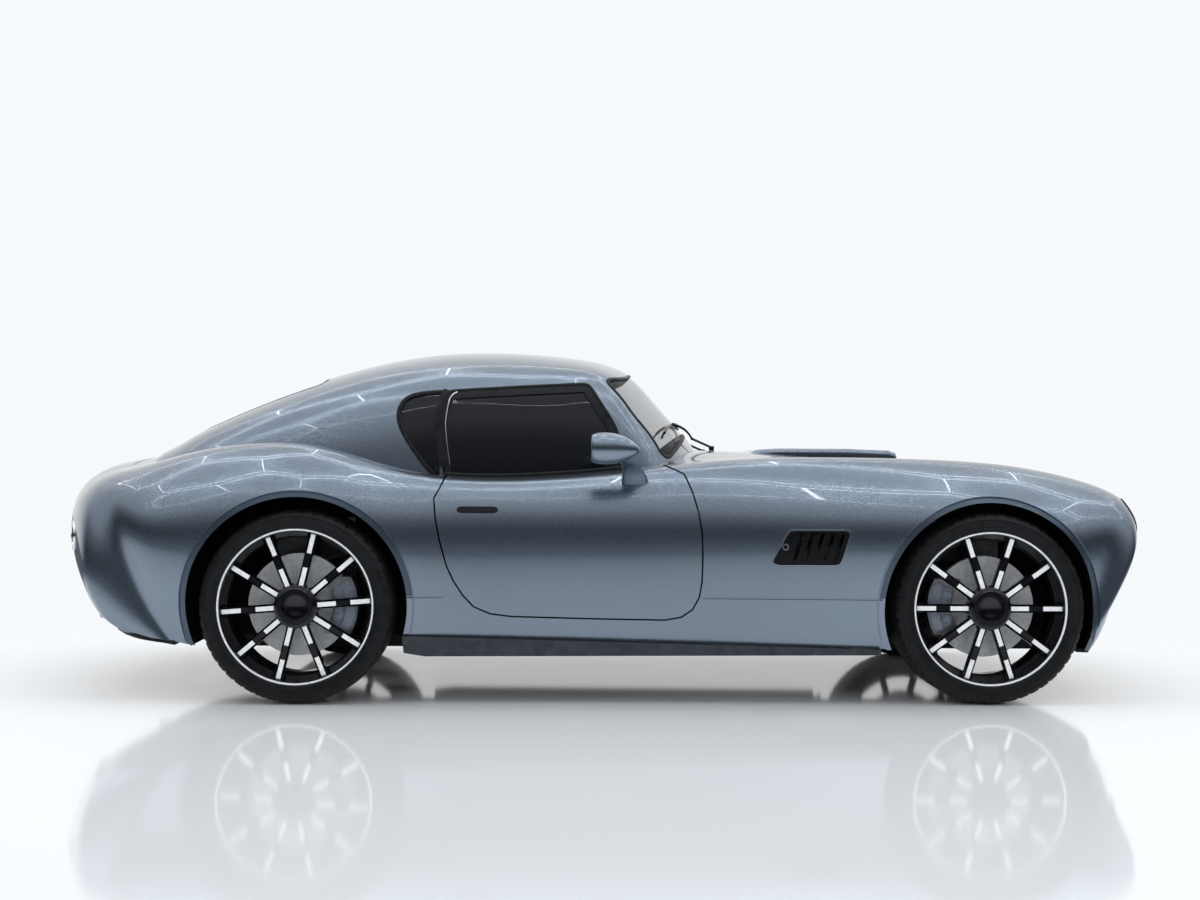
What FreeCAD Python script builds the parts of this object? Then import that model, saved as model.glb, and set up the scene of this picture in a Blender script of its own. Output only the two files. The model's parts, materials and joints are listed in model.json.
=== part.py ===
import FreeCAD, Part
import math
import os
import Sketcher
from FreeCAD import Placement, Rotation, Vector

os.makedirs("parts", exist_ok=True)
doc = FreeCAD.newDocument("coupe")

# sizes, in millimetres and degrees
SIZES = [
    # name, value
    ("wheelbase", 2570.0),
    ("front_axle_x", 1440.0),
    ("front_overhang", 672.5),
    ("rear_overhang", 982.5),
    ("body_width", 1980.0),
    ("axle_z", 358.0),
    ("tyre_r", 358.0),
    ("rim_r", 284.0),
    ("tyre_front_w", 255.0),
    ("tyre_rear_w", 305.0),
    ("face_front_y", 915.0),
    ("face_rear_y", 955.0),
    ("disc_r", 190.0),
    ("disc_t", 32.0),
    ("disc_holes", 16.0),
    ("spokes", 10.0),
    ("spoke_w", 34.0),
    ("spoke_t", 24.0),
    ("hub_r", 80.0),
    ("spindle_r", 30.0),
    ("skin_t", 20.0),
    ("door_t", 52.0),
    ("lid_t", 24.0),
    ("roof_t", 26.0),
    ("glass_t", 5.0),
    ("shut_gap", 6.0),
    ("fit_gap", 0.3),
    ("seam_gap", 0.6),
    ("arch_front_r", 422.0),
    ("arch_rear_r", 430.0),
    ("arch_lip", 27.0),
    ("lip_step", 4.0),
    ("rail_y", 350.0),
    ("rail_w", 79.0),
    ("rail_z", 160.0),
    ("rail_h", 100.0),
    ("seat_y", 360.0),
    ("lamp_r", 88.0),
    ("lamp_y", 655.0),
    ("lamp_z", 676.0),
    ("tail_lamp_r", 50.0),
    ("pipe_r", 30.0),
]
sheet = doc.addObject("Spreadsheet::Sheet", "Sizes")
for row, (name, value) in enumerate(SIZES, 1):
    sheet.set("A%d" % row, name)
    sheet.set("B%d" % row, repr(value))
    sheet.setAlias("B%d" % row, name)
doc.recompute()


def size(name):
    return float(sheet.get(name))


front_x = size("front_axle_x")
rear_x = front_x - size("wheelbase")
axle_z = size("axle_z")
fit = size("fit_gap")
gap = size("shut_gap")
wide = size("body_width") / 1980.0
front_stretch = size("front_overhang") / 672.5
rear_stretch = size("rear_overhang") / 982.5
SIDES = (("left", 1), ("right", -1))


def along(x):
    """a station on the reference body, moved to where the axles put it"""
    if x > 1440.0:
        return front_x + (x - 1440.0) * front_stretch
    if x < -1130.0:
        return rear_x + (x + 1130.0) * rear_stretch
    return rear_x + (x + 1130.0) * size("wheelbase") / 2570.0


# the skin of the lower body
BASE_Z = 200.0
# half sections of the lower body, points on the skin
SECTIONS = [
    # station x, foot x, sill y, low y, waist y, shoulder y z, crest y z, inner y z, valley y z, centre z
    (-1720, -1550, 888, 903, 928, 905, 712, 730, 862, 570, 872, 400, 884, 905),
    (-1480, -1430, 890, 938, 970, 940, 765, 760, 936, 580, 925, 400, 925, 930),
    (-1130, -1130, 885, 945, 988, 962, 800, 775, 963, 620, 935, 420, 905, 880),
    (-850, -850, 870, 900, 938, 915, 742, 790, 882, 665, 872, 430, 864, 866),
    (-600, -600, 850, 868, 890, 876, 708, 808, 826, 690, 838, 430, 860, 866),
    (-250, -250, 846, 864, 886, 874, 705, 808, 822, 700, 838, 430, 872, 878),
    (150, 150, 846, 864, 886, 874, 712, 798, 852, 690, 874, 430, 918, 935),
    (500, 500, 848, 866, 890, 878, 725, 770, 893, 640, 908, 430, 930, 942),
    (900, 900, 858, 884, 912, 898, 735, 750, 907, 620, 908, 420, 910, 922),
    (1250, 1250, 866, 904, 938, 922, 745, 730, 910, 590, 894, 390, 886, 902),
    (1550, 1540, 868, 902, 936, 914, 730, 712, 892, 570, 872, 370, 858, 868),
    (1790, 1700, 868, 886, 912, 876, 700, 690, 848, 540, 830, 350, 820, 826),
]
LEAN = (0.0, 0.4, 0.75, 1, 1, 1, 1, 1, 1)
REACH = (1.0, 0.99, 0.975, 0.94, 0.80, 0.63, 0.42, 0.2, 0.0)
LIFT = (0.0, 0.22, 0.53, 0.82, 1, 1, 1, 1, 1)
# rings that close the tail and the nose
TAIL_RINGS = [
    # centre x, corner x, foot x, half width, z, rise to the centre
    (-1600, -1575, -1660, 800, 200, 0),
    (-1930, -1790, -1650, 838, 268, 0),
    (-2045, -1872, -1632, 866, 385, 0),
    (-2106, -1902, -1612, 880, 540, 8),
    (-2112, -1858, -1592, 885, 690, 64),
    (-1970, -1790, -1570, 885, 766, 112),
]
NOSE_RINGS = [
    (2035, 1915, 1730, 880, 788, -18),
    (2106, 1988, 1758, 885, 700, -10),
    (2112, 1970, 1780, 880, 604, 0),
    (2068, 1904, 1800, 865, 512, 0),
    (2046, 1886, 1820, 845, 320, 0),
    (1965, 1838, 1838, 820, 200, 0),
]


def mix(a, b, t):
    return a + (b - a) * t


def section_points(row):
    x, foot, sill, low, waist, sy, sz, cy, cz, iy, iz, vy, vz, mz = row
    pts = [(sill, BASE_Z), (low, 330), (waist, 520), (sy, sz), (cy, cz)]
    pts += [(iy, iz), (vy, vz), (vy * 0.45, mix(vz, mz, 0.75)), (0, mz)]
    return [Vector(along(mix(foot, x, l)), y * wide, z) for l, (y, z) in zip(LEAN, pts)]


def ring_points(row):
    xc, xk, foot, w, z, rise = row
    out = []
    for r, lean, lift in zip(REACH, LEAN, LIFT):
        x = xc - (xc - xk) * r ** 2.5
        up = BASE_Z + (z - BASE_Z) * lift + rise * (1 - r * r)
        out.append(Vector(along(mix(foot, x, lean)), w * r * wide, up))
    return out


def sharpen(rows):
    """poles that carry the surface through the given points"""
    for _ in range(2):
        turned = []
        for j in range(len(rows[0])):
            col = [r[j] for r in rows]
            new = [col[0]]
            for i in range(1, len(col) - 1):
                new.append(col[i] + (col[i] * 2 - col[i - 1] - col[i + 1]) * 0.16)
            new.append(col[-1])
            turned.append(new)
        rows = turned
    return rows


def mirrored(half):
    return half[:-1] + [Vector(p.x, -p.y, p.z) for p in reversed(half)]


def inset(rows, depth, drop):
    """the net moved inwards by a wall, its open edge dropped to cut clean"""
    nu, nv = len(rows), len(rows[0])
    out = []
    for i in range(nu):
        line = []
        for j in range(nv):
            du = rows[min(i + 1, nu - 1)][j] - rows[max(i - 1, 0)][j]
            dv = rows[i][min(j + 1, nv - 1)] - rows[i][max(j - 1, 0)]
            n = du.cross(dv)
            p = Vector(rows[i][j])
            if n.Length > 1e-6:
                n.normalize()
                p = p + n * depth
            if i in (0, nu - 1) or j in (0, nv - 1):
                p.z = rows[i][j].z - drop
            line.append(p)
        out.append(line)
    return out


def dome(rows):
    nu, nv = len(rows), len(rows[0])
    uk = list(range(nu - 2))
    vk = list(range(nv - 2))
    um = [4] + [1] * (nu - 4) + [4]
    vm = [4] + [1] * (nv - 4) + [4]
    skin = Part.BSplineSurface()
    skin.buildFromPolesMultsKnots(rows, um, vm, uk, vk, False, False, 3, 3)
    face = skin.toShape()
    base = Part.Face(Part.Wire(Part.__sortEdges__(face.OuterWire.Edges)))
    solid = Part.Solid(Part.Shell([face, base]))
    if solid.Volume < 0:
        solid.reverse()
    return solid


def body_net():
    rows = [ring_points(r) for r in TAIL_RINGS]
    rows += [section_points(r) for r in SECTIONS]
    rows += [ring_points(r) for r in NOSE_RINGS]
    return sharpen([mirrored(r) for r in rows])


# cabin: rings from the tail of the roof to the foot of the windscreen
CABIN_Z = 700.0
CABIN_RINGS = [
    # foot x y, then x y z of belt, glass, cant, brow and crown, then centre x z
    ((-1900, 470), (-1880, 420, 700), (-1880, 340, 700), (-1890, 270, 700),
     (-1895, 180, 700), (-1900, 90, 700), (-1900, 700)),
    ((-1780, 530), (-1800, 490, 790), (-1810, 400, 842), (-1820, 310, 868),
     (-1825, 210, 880), (-1830, 100, 886), (-1830, 888)),
    ((-1685, 570), (-1695, 532, 820), (-1700, 460, 884), (-1704, 370, 922),
     (-1708, 255, 940), (-1710, 125, 947), (-1710, 949)),
    ((-1590, 610), (-1590, 575, 850), (-1590, 520, 930), (-1590, 430, 984),
     (-1590, 300, 1012), (-1590, 150, 1024), (-1590, 1026)),
    ((-1310, 670), (-1310, 640, 880), (-1310, 600, 990), (-1310, 520, 1075),
     (-1310, 370, 1128), (-1310, 180, 1150), (-1310, 1153)),
    ((-1027, 705), (-1027, 680, 890), (-1027, 645, 1030), (-1027, 570, 1145),
     (-1027, 410, 1218), (-1027, 200, 1249), (-1027, 1255)),
    ((-743, 720), (-743, 700, 870), (-743, 668, 1050), (-743, 596, 1190),
     (-743, 440, 1273), (-743, 215, 1313), (-743, 1320)),
    ((-480, 722), (-480, 706, 860), (-480, 675, 1055), (-480, 606, 1205),
     (-480, 455, 1292), (-480, 225, 1332), (-480, 1340)),
    ((-230, 720), (-230, 706, 855), (-230, 675, 1050), (-230, 606, 1200),
     (-220, 460, 1283), (-200, 230, 1320), (-190, 1327)),
    ((-20, 716), (-20, 702, 855), (-16, 668, 1045), (-5, 608, 1198),
     (30, 486, 1247), (80, 240, 1270), (104, 1277)),
    ((130, 714), (120, 700, 845), (112, 668, 965), (112, 630, 1047),
     (165, 506, 1095), (215, 250, 1122), (238, 1130)),
    ((290, 700), (262, 690, 785), (248, 668, 850), (242, 644, 885),
     (305, 514, 935), (355, 255, 975), (378, 984)),
    ((420, 640), (430, 560, 700), (450, 470, 700), (480, 380, 700),
     (520, 260, 700), (550, 130, 700), (560, 700)),
]


def cabin_net():
    rows = []
    for foot, belt, glass, cant, brow, crown, mid in CABIN_RINGS:
        half = [(foot[0], foot[1], CABIN_Z), belt, glass, cant, brow, crown, (mid[0], 0, mid[1])]
        rows.append(mirrored([Vector(along(x), y * wide, z) for x, y, z in half]))
    return sharpen(rows)


body_rows = body_net()
cabin_rows = cabin_net()
body_skin = dome(body_rows)
body_lift = dome(inset(body_rows, -fit, 0))
cabin_skin = dome(cabin_rows)


def body_wall(depth):
    return body_skin.cut(dome(inset(body_rows, depth, 20)))


def cabin_wall(outer, depth):
    top = cabin_skin if outer == 0 else dome(inset(cabin_rows, outer, 10))
    return top.cut(dome(inset(cabin_rows, outer + depth, 20)))


# outlines in side view
DOOR = [
    (-606, 800), (-629, 756), (-622, 685), (-607, 608), (-579, 508), (-553, 452), (-521, 402),
    (-480, 358), (-420, 332), (-340, 322), (-41, 315), (230, 311), (290, 322), (330, 350), (354, 395),
    (363, 450), (365, 548), (362, 634), (349, 712), (328, 785), (300, 850),
]

def prism(points, y0, y1, step=0.0, top=None):
    pts = [Vector(along(x), y0, z) for x, z in points]
    if top:
        pts = pts + [Vector(along(x), y0, z) for x, z in top]
    wire = Part.makePolygon(pts + pts[:1])
    if step:
        wire = wire.makeOffset2D(step, 0)
    return Part.Face(wire).extrude(Vector(0, y1 - y0, 0))


made = {}


def biggest(shape):
    return max(shape.Solids, key=lambda s: abs(s.BoundBox.DiagonalLength))


def flip(shape):
    return shape.mirror(Vector(0, 0, 0), Vector(0, 1, 0))


def both(shape):
    return Part.makeCompound([shape, flip(shape)])


def block(x0, x1, y0, y1, z0, z1):
    return Part.makeBox(x1 - x0, y1 - y0, z1 - z0, Vector(x0, y0, z0))


def keep(name, shape):
    feature = doc.addObject("Part::Feature", name)
    feature.Shape = shape
    made[name] = feature
    return shape


def bind(feature, **sizes):
    """tie a feature's values to the sheet, Placement_Base_x for Placement.Base.x"""
    for key, text in sizes.items():
        feature.setExpression(key.replace("_", "."), text)


def box(name, length, width, height, x, y, z):
    """a block whose sizes and place are formulas over the sheet"""
    feature = doc.addObject("Part::Box", name)
    bind(feature, Length=length, Width=width, Height=height)
    bind(feature, Placement_Base_x=x, Placement_Base_y=y, Placement_Base_z=z)
    return feature


def rod(name, radius, height, x, y, z, axis):
    """a round bar along one of the axes"""
    feature = doc.addObject("Part::Cylinder", name)
    turned = Rotation(Vector(0, 0, 1), axis)
    feature.Placement = Placement(Vector(0, 0, 0), turned)
    bind(feature, Radius=radius, Height=height)
    bind(feature, Placement_Base_x=x, Placement_Base_y=y, Placement_Base_z=z)
    return feature


def mirrored_object(name, source):
    feature = doc.addObject("Part::Mirroring", name)
    feature.Source = source
    feature.Normal = Vector(0, 1, 0)
    return feature


def fused(name, items):
    feature = doc.addObject("Part::MultiFuse", name)
    feature.Shapes = items
    feature.Refine = True
    made[name] = feature
    return feature



# turned pieces
def new_body(name):
    return doc.addObject("PartDesign::Body", name)


def plane_of(body, label):
    for item in body.Origin.OriginFeatures:
        if item.Name.startswith(label):
            return item


def add_sketch(body, name, label, loops=(), rings=()):
    sketch = doc.addObject("Sketcher::SketchObject", name)
    body.addObject(sketch)
    sketch.AttachmentSupport = [(plane_of(body, label), "")]
    sketch.MapMode = "FlatFace"
    for loop in loops:
        for i, (u, v) in enumerate(loop):
            w = loop[(i + 1) % len(loop)]
            sketch.addGeometry(Part.LineSegment(Vector(u, v, 0), Vector(w[0], w[1], 0)), False)
    for u, v, r in rings:
        sketch.addGeometry(Part.Circle(Vector(u, v, 0), Vector(0, 0, 1), r), False)
    return sketch


def revolve(body, sketch, name, kind="PartDesign::Revolution"):
    feature = doc.addObject(kind, name)
    body.addObject(feature)
    feature.Profile = sketch
    feature.ReferenceAxis = (sketch, ["V_Axis"])
    feature.Angle = 360.0
    return feature


def polar(body, features, name, count):
    pattern = doc.addObject("PartDesign::PolarPattern", name)
    body.addObject(pattern)
    pattern.Originals = features
    pattern.Axis = (plane_of(body, "Y_Axis"), [""])
    pattern.Angle = 360.0
    bind(pattern, Occurrences=count)
    body.Tip = pattern
    return pattern


def make_tyre(end):
    """a low tyre turned about its axle, outer face towards +Y"""
    w = size("tyre_%s_w" % end)
    face = size("face_%s_y" % end)
    r1 = size("tyre_r")
    r0 = size("rim_r") - 4
    body = new_body("tyre_%s_form" % end)
    wall = [(0, 14), (12, 6), (30, 0), (48, 2), (64, 12), (71, 26), (74, 44)]
    reach = (r1 - r0) / 78.0
    outer = [(r0 + d * reach, face - inward) for d, inward in wall]
    inner = [(r, 2 * face - w - y) for r, y in reversed(outer)]
    loop = outer + [(r1, face - 62), (r1, face - w + 62)] + inner
    sketch = add_sketch(body, "tyre_%s_profile" % end, "XY", [loop])
    body.Tip = revolve(body, sketch, "tyre_%s_turn" % end)
    return body


def make_rim(end):
    """barrel, ten spokes and a centre lock hub"""
    w = size("tyre_%s_w" % end)
    face = size("face_%s_y" % end)
    rim = size("rim_r") - 4 - fit
    lip = face - 14
    back = face - w + 14
    hub = size("hub_r")
    body = new_body("rim_%s_form" % end)
    barrel = [
        (rim, lip), (rim, back), (rim - 14, back), (rim - 20, back + 30),
        (rim - 26, face - 90), (rim - 10, lip - 18), (rim - 8, lip),
    ]
    sketch = add_sketch(body, "rim_%s_barrel" % end, "XY", [barrel])
    revolve(body, sketch, "rim_%s_turn" % end)
    half = size("spoke_w") / 2
    spoke = [(hub - 6, -half * 0.9), (rim - 12, -half), (rim - 12, half), (hub - 6, half * 0.9)]
    spoke_sketch = add_sketch(body, "rim_%s_spoke" % end, "XZ", [spoke])
    bind(spoke_sketch, AttachmentOffset_Base_z="34 - Sizes.face_%s_y" % end)
    pad = doc.addObject("PartDesign::Pad", "rim_%s_bar" % end)
    body.addObject(pad)
    pad.Profile = spoke_sketch
    bind(pad, Length="Sizes.spoke_t")
    polar(body, [pad], "rim_%s_ring" % end, "Sizes.spokes")
    hub_loop = [
        (0, face - 40), (0, face - 22), (34, face - 20), (50, face - 16), (56, face - 8), (66, face - 8),
        (hub, face - 26), (hub, face - 70), (hub - 12, face - 118), (size("spindle_r") + 4, face - 118),
        (size("spindle_r") + 4, face - 60), (0, face - 60),
    ]
    hub_sketch = add_sketch(body, "rim_%s_hub" % end, "XY", [hub_loop])
    body.Tip = revolve(body, hub_sketch, "rim_%s_boss" % end)
    return body


def make_disc(end):
    face = size("face_%s_y" % end)
    r = size("disc_r")
    y1 = face - 118 - fit
    body = new_body("disc_%s_form" % end)
    bore = size("spindle_r") + 4
    bell = size("hub_r") - 10
    front = y1 - 12
    back = front - size("disc_t")
    loop = [
        (bore, y1), (bell, y1), (bell, front), (r, front),
        (r, back), (bell - 12, back), (bell - 12, y1 - 10), (bore, y1 - 10),
    ]
    sketch = add_sketch(body, "disc_%s_profile" % end, "XY", [loop])
    revolve(body, sketch, "disc_%s_turn" % end)
    holes = [(r * 0.60, 6, 5), (r * 0.76, 14, 5), (r * 0.92, 4, 5)]
    drill = add_sketch(body, "disc_%s_drill" % end, "XZ", rings=holes)
    drill.AttachmentOffset = Placement(Vector(0, 0, -(y1 + 20)), Rotation())
    pocket = doc.addObject("PartDesign::Pocket", "disc_%s_holes" % end)
    body.addObject(pocket)
    pocket.Profile = drill
    bind(pocket, Length="Sizes.disc_t * 6")
    polar(body, [pocket], "disc_%s_ring" % end, "Sizes.disc_holes")
    return body


FRONT_X = "Sizes.front_axle_x"
REAR_X = "Sizes.front_axle_x - Sizes.wheelbase"
wheel_forms = {}
for end in ("front", "rear"):
    wheel_forms[end] = [("tyre", make_tyre(end)), ("rim", make_rim(end)), ("brake_disc", make_disc(end))]
doc.recompute()
for end, x, turn, axle_at in (("front", front_x, 0.0, FRONT_X), ("rear", rear_x, 4.6, REAR_X)):
    for side, sign in SIDES:
        for label, form in wheel_forms[end]:
            feature = doc.addObject("Part::Feature", "%s_%s_%s" % (label, end, side))
            feature.Shape = form.Shape.copy()
            spin = Rotation(Vector(0, 1, 0), turn)
            if sign < 0:
                spin = Rotation(Vector(0, 0, 1), 180).multiply(spin)
            feature.Placement = Placement(Vector(x, 0, axle_z), spin)
            bind(feature, Placement_Base_x=axle_at, Placement_Base_z="Sizes.axle_z")
            made[feature.Name] = feature


# hubs and suspension
def caliper(x, face, ahead):
    """a sector over the disc's edge, open round the disc"""
    y_mid = face - 118 - fit - 12 - size("disc_t") / 2
    r = size("disc_r")
    ring = Part.makeCylinder(r + 30, 104, Vector(x, y_mid - 52, axle_z), Vector(0, 1, 0))
    ring = ring.cut(Part.makeCylinder(r - 62, 104, Vector(x, y_mid - 52, axle_z), Vector(0, 1, 0)))
    slot = size("disc_t") + 12
    ring = ring.cut(Part.makeCylinder(r + 7, slot, Vector(x, y_mid - slot / 2, axle_z), Vector(0, 1, 0)))
    x0 = x + 95 if ahead else x - 260
    return ring.common(block(x0, x0 + 165, y_mid - 60, y_mid + 60, axle_z - 105, axle_z + 105))


def hub_carrier(x, face, ahead):
    """spindle, flange and upright, with the caliper on its bracket"""
    y_disc = face - 118 - fit - 10
    back = face - 118 - fit - 12 - size("disc_t") - 8
    start = Vector(x, back - 20, axle_z)
    spindle = Part.makeCylinder(size("spindle_r"), 70 + y_disc - back, start, Vector(0, 1, 0))
    flange = Part.makeCylinder(size("hub_r") - 30, y_disc - fit - back + 20, start, Vector(0, 1, 0))
    upright = block(x - 45, x + 45, back - 44, back - 4, axle_z - 120, axle_z + 130)
    reach = (x, x + 150) if ahead else (x - 150, x)
    bracket = block(reach[0], reach[1], back - 34, back - 8, axle_z - 50, axle_z + 50)
    shape = spindle.fuse([flange, upright, bracket, caliper(x, face, ahead)])
    return shape.removeSplitter()


def wishbone(x, y0, y1, z, height, spread):
    """an arm with two feet on the frame and one end at the upright"""
    pts = [(x - spread, y0), (x - spread + 60, y0), (x, y1 - 110), (x + spread - 60, y0)]
    pts += [(x + spread, y0), (x + 38, y1), (x - 38, y1)]
    pts = [Vector(u, v, z) for u, v in pts]
    return Part.Face(Part.makePolygon(pts + pts[:1])).extrude(Vector(0, 0, height))


front_hub = hub_carrier(front_x, size("face_front_y"), False)
rear_hub = hub_carrier(rear_x, size("face_rear_y"), True)
keep("knuckle_front_left", front_hub)
keep("knuckle_front_right", flip(front_hub))
keep("rear_hubs", both(rear_hub))
rail_out = size("rail_y") + size("rail_w")
SKIRT_Y = 842.0
arms = {}
top_z = size("rail_z") + size("rail_h")
for label, x in (("front", front_x), ("rear", rear_x)):
    back = size("face_%s_y" % label) - 118 - fit - 12 - size("disc_t") - 8 - 44
    upper = wishbone(x, rail_out + fit - 30, back + 30, axle_z + 130 + fit, 24, 130)
    lower = wishbone(x, rail_out + fit, back + 30, axle_z - 120 - fit - 26, 26, 150)
    post = block(x - 150, x + 150, rail_out - 60, rail_out - 20, top_z + fit, axle_z + 290)
    post = post.cut(Part.makeCylinder(30, 100, Vector(x, rail_out - 80, axle_z), Vector(0, 1, 0)))
    damper_foot = Vector(x, rail_out + 66, axle_z + 130 + fit + 12)
    damper = Part.makeCylinder(24, 150, damper_foot, Vector(0, -0.6, 1))
    damper = damper.cut(block(x - 100, x + 100, 0, rail_out - 60, 0, 900))
    arms[label] = both(upper.fuse([post, damper]))
    arms[label] = Part.makeCompound([arms[label], both(lower)])
keep("front_suspension", arms["front"])
keep("rear_suspension", arms["rear"])

# frame, floor and drive
inner_dome = dome(inset(body_rows, size("skin_t") + fit, 20))
kick_z = top_z + 80
rail = block(along(-1530), along(1790), size("rail_y"), rail_out, size("rail_z"), top_z)
KICK = [(-1500, -100), (-1500, 0), (-1580, 80), (-1860, 80), (-1860, 32), (-1620, 10), (-1540, -100)]
kick = prism([(x, z + top_z) for x, z in KICK], size("rail_y"), rail_out)
rail = rail.fuse(kick)
cross = []
for station in (-1480, -720, -100, 600, 1740):
    x = along(station)
    cross.append(block(x - 35, x + 35, -size("rail_y"), size("rail_y"), size("rail_z") + 10, top_z - 10))
cross.append(block(along(-1850), along(-1780), -size("rail_y"), size("rail_y"), kick_z - 36, kick_z - 6))
for station in (-560, 330):
    x = along(station)
    strut = block(x - 40, x + 40, rail_out - 10, SKIRT_Y - fit, 205, 218)
    cross += [strut, flip(strut)]
frame_shape = rail.fuse([flip(rail)] + cross)
keep("chassis_frame", frame_shape.removeSplitter())
floor = block(along(-645), along(350) + 6, -1000, 1000, top_z + fit, top_z + fit + 4).common(inner_dome)
boot_floor = block(along(-1860), along(-1570), -640, 640, kick_z + fit, kick_z + fit + 4).common(inner_dome)
keep("floor_pan", Part.makeCompound([floor, boot_floor]))
floor_z = top_z + fit + 4

AHEAD = "Sizes.front_axle_x"
BED = "Sizes.rail_z + Sizes.rail_h + Sizes.fit_gap"
sump = box("engine_sump", "540", "520", "110", AHEAD + " - 600", "-260", "190")
crank_case = box("engine_case", "580", "580", "260", AHEAD + " - 620", "-290", "300")
intake = box("engine_intake", "460", "300", "145", AHEAD + " - 560", "-150", "555")
foot_wide = "Sizes.rail_y - 245"
foot_left = box("engine_foot_left", "80", foot_wide, "330 - (%s)" % BED, AHEAD + " - 540", "285", BED)
foot_right = mirrored_object("engine_foot_right", foot_left)
fused("engine_block", [sump, crank_case, intake, foot_left, foot_right])

shaft_long = "Sizes.wheelbase - 730 - Sizes.fit_gap"
shaft = rod("prop_shaft", "38", shaft_long, REAR_X + " + 110", "0", "330", Vector(1, 0, 0))
drum = rod("final_drive", "110", "180", REAR_X, "-90", "Sizes.axle_z - 20", Vector(0, 1, 0))
nose_case = box("final_drive_nose", "140", "140", "110", REAR_X, "-70", "Sizes.axle_z - 78")
reach = "(Sizes.face_rear_y - Sizes.disc_t - 182 - 2 * Sizes.fit_gap)"
half_shaft = rod("half_shafts", "20", "2 * " + reach, REAR_X, "-" + reach, "Sizes.axle_z", Vector(0, 1, 0))
fused("drive_axle", [shaft, drum, nose_case, half_shaft])

# body panels
BONNET = [(440, 395), (440, -395), (1640, -335), (1690, -290), (1690, 290), (1640, 335)]
BOOT = [(-1850, 1000), (-1850, 650), (-1960, 600), (-2300, 600), (-2300, 1000)]
BOOT_Y = 420
VENT = [(689, 648), (908, 649), (915, 635), (878, 520), (857, 515), (638, 514), (623, 529)]
HANDLE = [
    (-533, 702), (-407, 702), (-394, 708), (-394, 721), (-407, 727), (-533, 727), (-546, 721), (-546, 708),
]


def plan_prism(points, z0, z1, step=0.0):
    pts = [Vector(along(x), y, z0) for x, y in points]
    wire = Part.makePolygon(pts + pts[:1])
    if step:
        wire = wire.makeOffset2D(step, 0)
    return Part.Face(wire).extrude(Vector(0, 0, z1 - z0))




def arch(x, radius):
    return Part.makeCylinder(radius, 3000, Vector(x, -1500, axle_z), Vector(0, 1, 0))


arch_f = arch(front_x, size("arch_front_r") - size("arch_lip"))
arch_r = arch(rear_x, size("arch_rear_r") - size("arch_lip"))
DOOR_TOP = [(180, 905), (-560, 905)]
door_in = prism(DOOR, 700, 1100, 0, DOOR_TOP)
door_cut = prism(DOOR, 700, 1100, gap, DOOR_TOP)
bonnet_in = plan_prism(BONNET, 700, 1100)
bonnet_cut = plan_prism(BONNET, 700, 1100, gap)
boot_in = prism(BOOT, -BOOT_Y, BOOT_Y)
boot_cut = prism(BOOT, -BOOT_Y - gap, BOOT_Y + gap, gap)
vent_cut = prism(VENT, 800, 1100)
mouth = Part.makeCylinder(125, 400, Vector(along(1800), 0, 0), Vector(1, 0, 0))
stretch = FreeCAD.Matrix()
stretch.A22 = 2.75
mouth_cut = mouth.transformGeometry(stretch)
mouth_cut.translate(Vector(0, 0, 480))
lamp_at = Vector(along(1800), size("lamp_y") * wide, size("lamp_z"))
lamp_cut = Part.makeCylinder(size("lamp_r"), 400, lamp_at, Vector(1, 0, 0))
tail_at = Vector(along(-2300), 600 * wide, 600)
tail_cut = Part.makeCylinder(size("tail_lamp_r"), 500, tail_at, Vector(1, 0, 0))
pipe_at = Vector(along(-1942), 520 * wide, 306)
pipe_cut = Part.makeCylinder(size("pipe_r") + fit, 340, pipe_at - Vector(60, 0, 0), Vector(1, 0, 0))
UNDER_TAIL = [(-1480, 206), (-1577, 224), (-1700, 241), (-1800, 259), (-1850, 268)]
under_cut = prism(UNDER_TAIL, -1200, 1200, 0, [(-1850, 100), (-1480, 100)])

shell = biggest(body_wall(size("skin_t")))
lip_floor = dome(inset(body_rows, size("lip_step"), 20))
lip_front = arch(front_x, size("arch_front_r")).cut(lip_floor)
lip_rear = arch(rear_x, size("arch_rear_r")).cut(lip_floor)
for cutter in (arch_f, arch_r, lip_front, lip_rear, cabin_skin, bonnet_cut, boot_cut, mouth_cut, under_cut):
    shell = shell.cut(cutter)
for cutter in (door_cut, lamp_cut, tail_cut, vent_cut, pipe_cut):
    shell = shell.cut(cutter).cut(flip(cutter))
SEAM_Z = 395.0
low_box = block(rear_x, front_x, -1200, 1200, 100, SEAM_Z)
low_gap = block(rear_x, front_x, -1200, 1200, 100, SEAM_Z + size("seam_gap"))
SILL_FOOT = [(-760, 100), (-760, 249), (1060, 204), (1060, 100)]
sill_foot = prism(SILL_FOOT, -1200, 1200)
sills = shell.common(low_box).cut(sill_foot)
keep("sills", Part.makeCompound([s for s in sills.Solids if s.BoundBox.XLength > 800]))
upper = shell.cut(low_gap)
split_x = along(-100)
front_body = biggest(upper.common(block(split_x, 2400, -1200, 1200, 0, 1300)))
rear_body = biggest(upper.common(block(-2400, split_x, -1200, 1200, 0, 1300)))
keep("front_body", front_body)
keep("rear_body", rear_body)

vent = dome(inset(body_rows, 6, 20)).cut(dome(inset(body_rows, 16, 20))).common(prism(VENT, 800, 1100, -fit))
for i in range(5):
    x = 700 + i * 38
    vent = vent.cut(prism([(x, 534), (x + 14, 534), (x + 44, 634), (x + 30, 634)], 800, 1100))
boss = Part.makeCylinder(13, 200, Vector(along(674), 800, 584), Vector(0, 1, 0))
boss = boss.common(dome(inset(body_rows, 1, 20))).cut(dome(inset(body_rows, 12, 20)))
keep("side_vents", both(biggest(vent.fuse(boss))))

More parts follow.
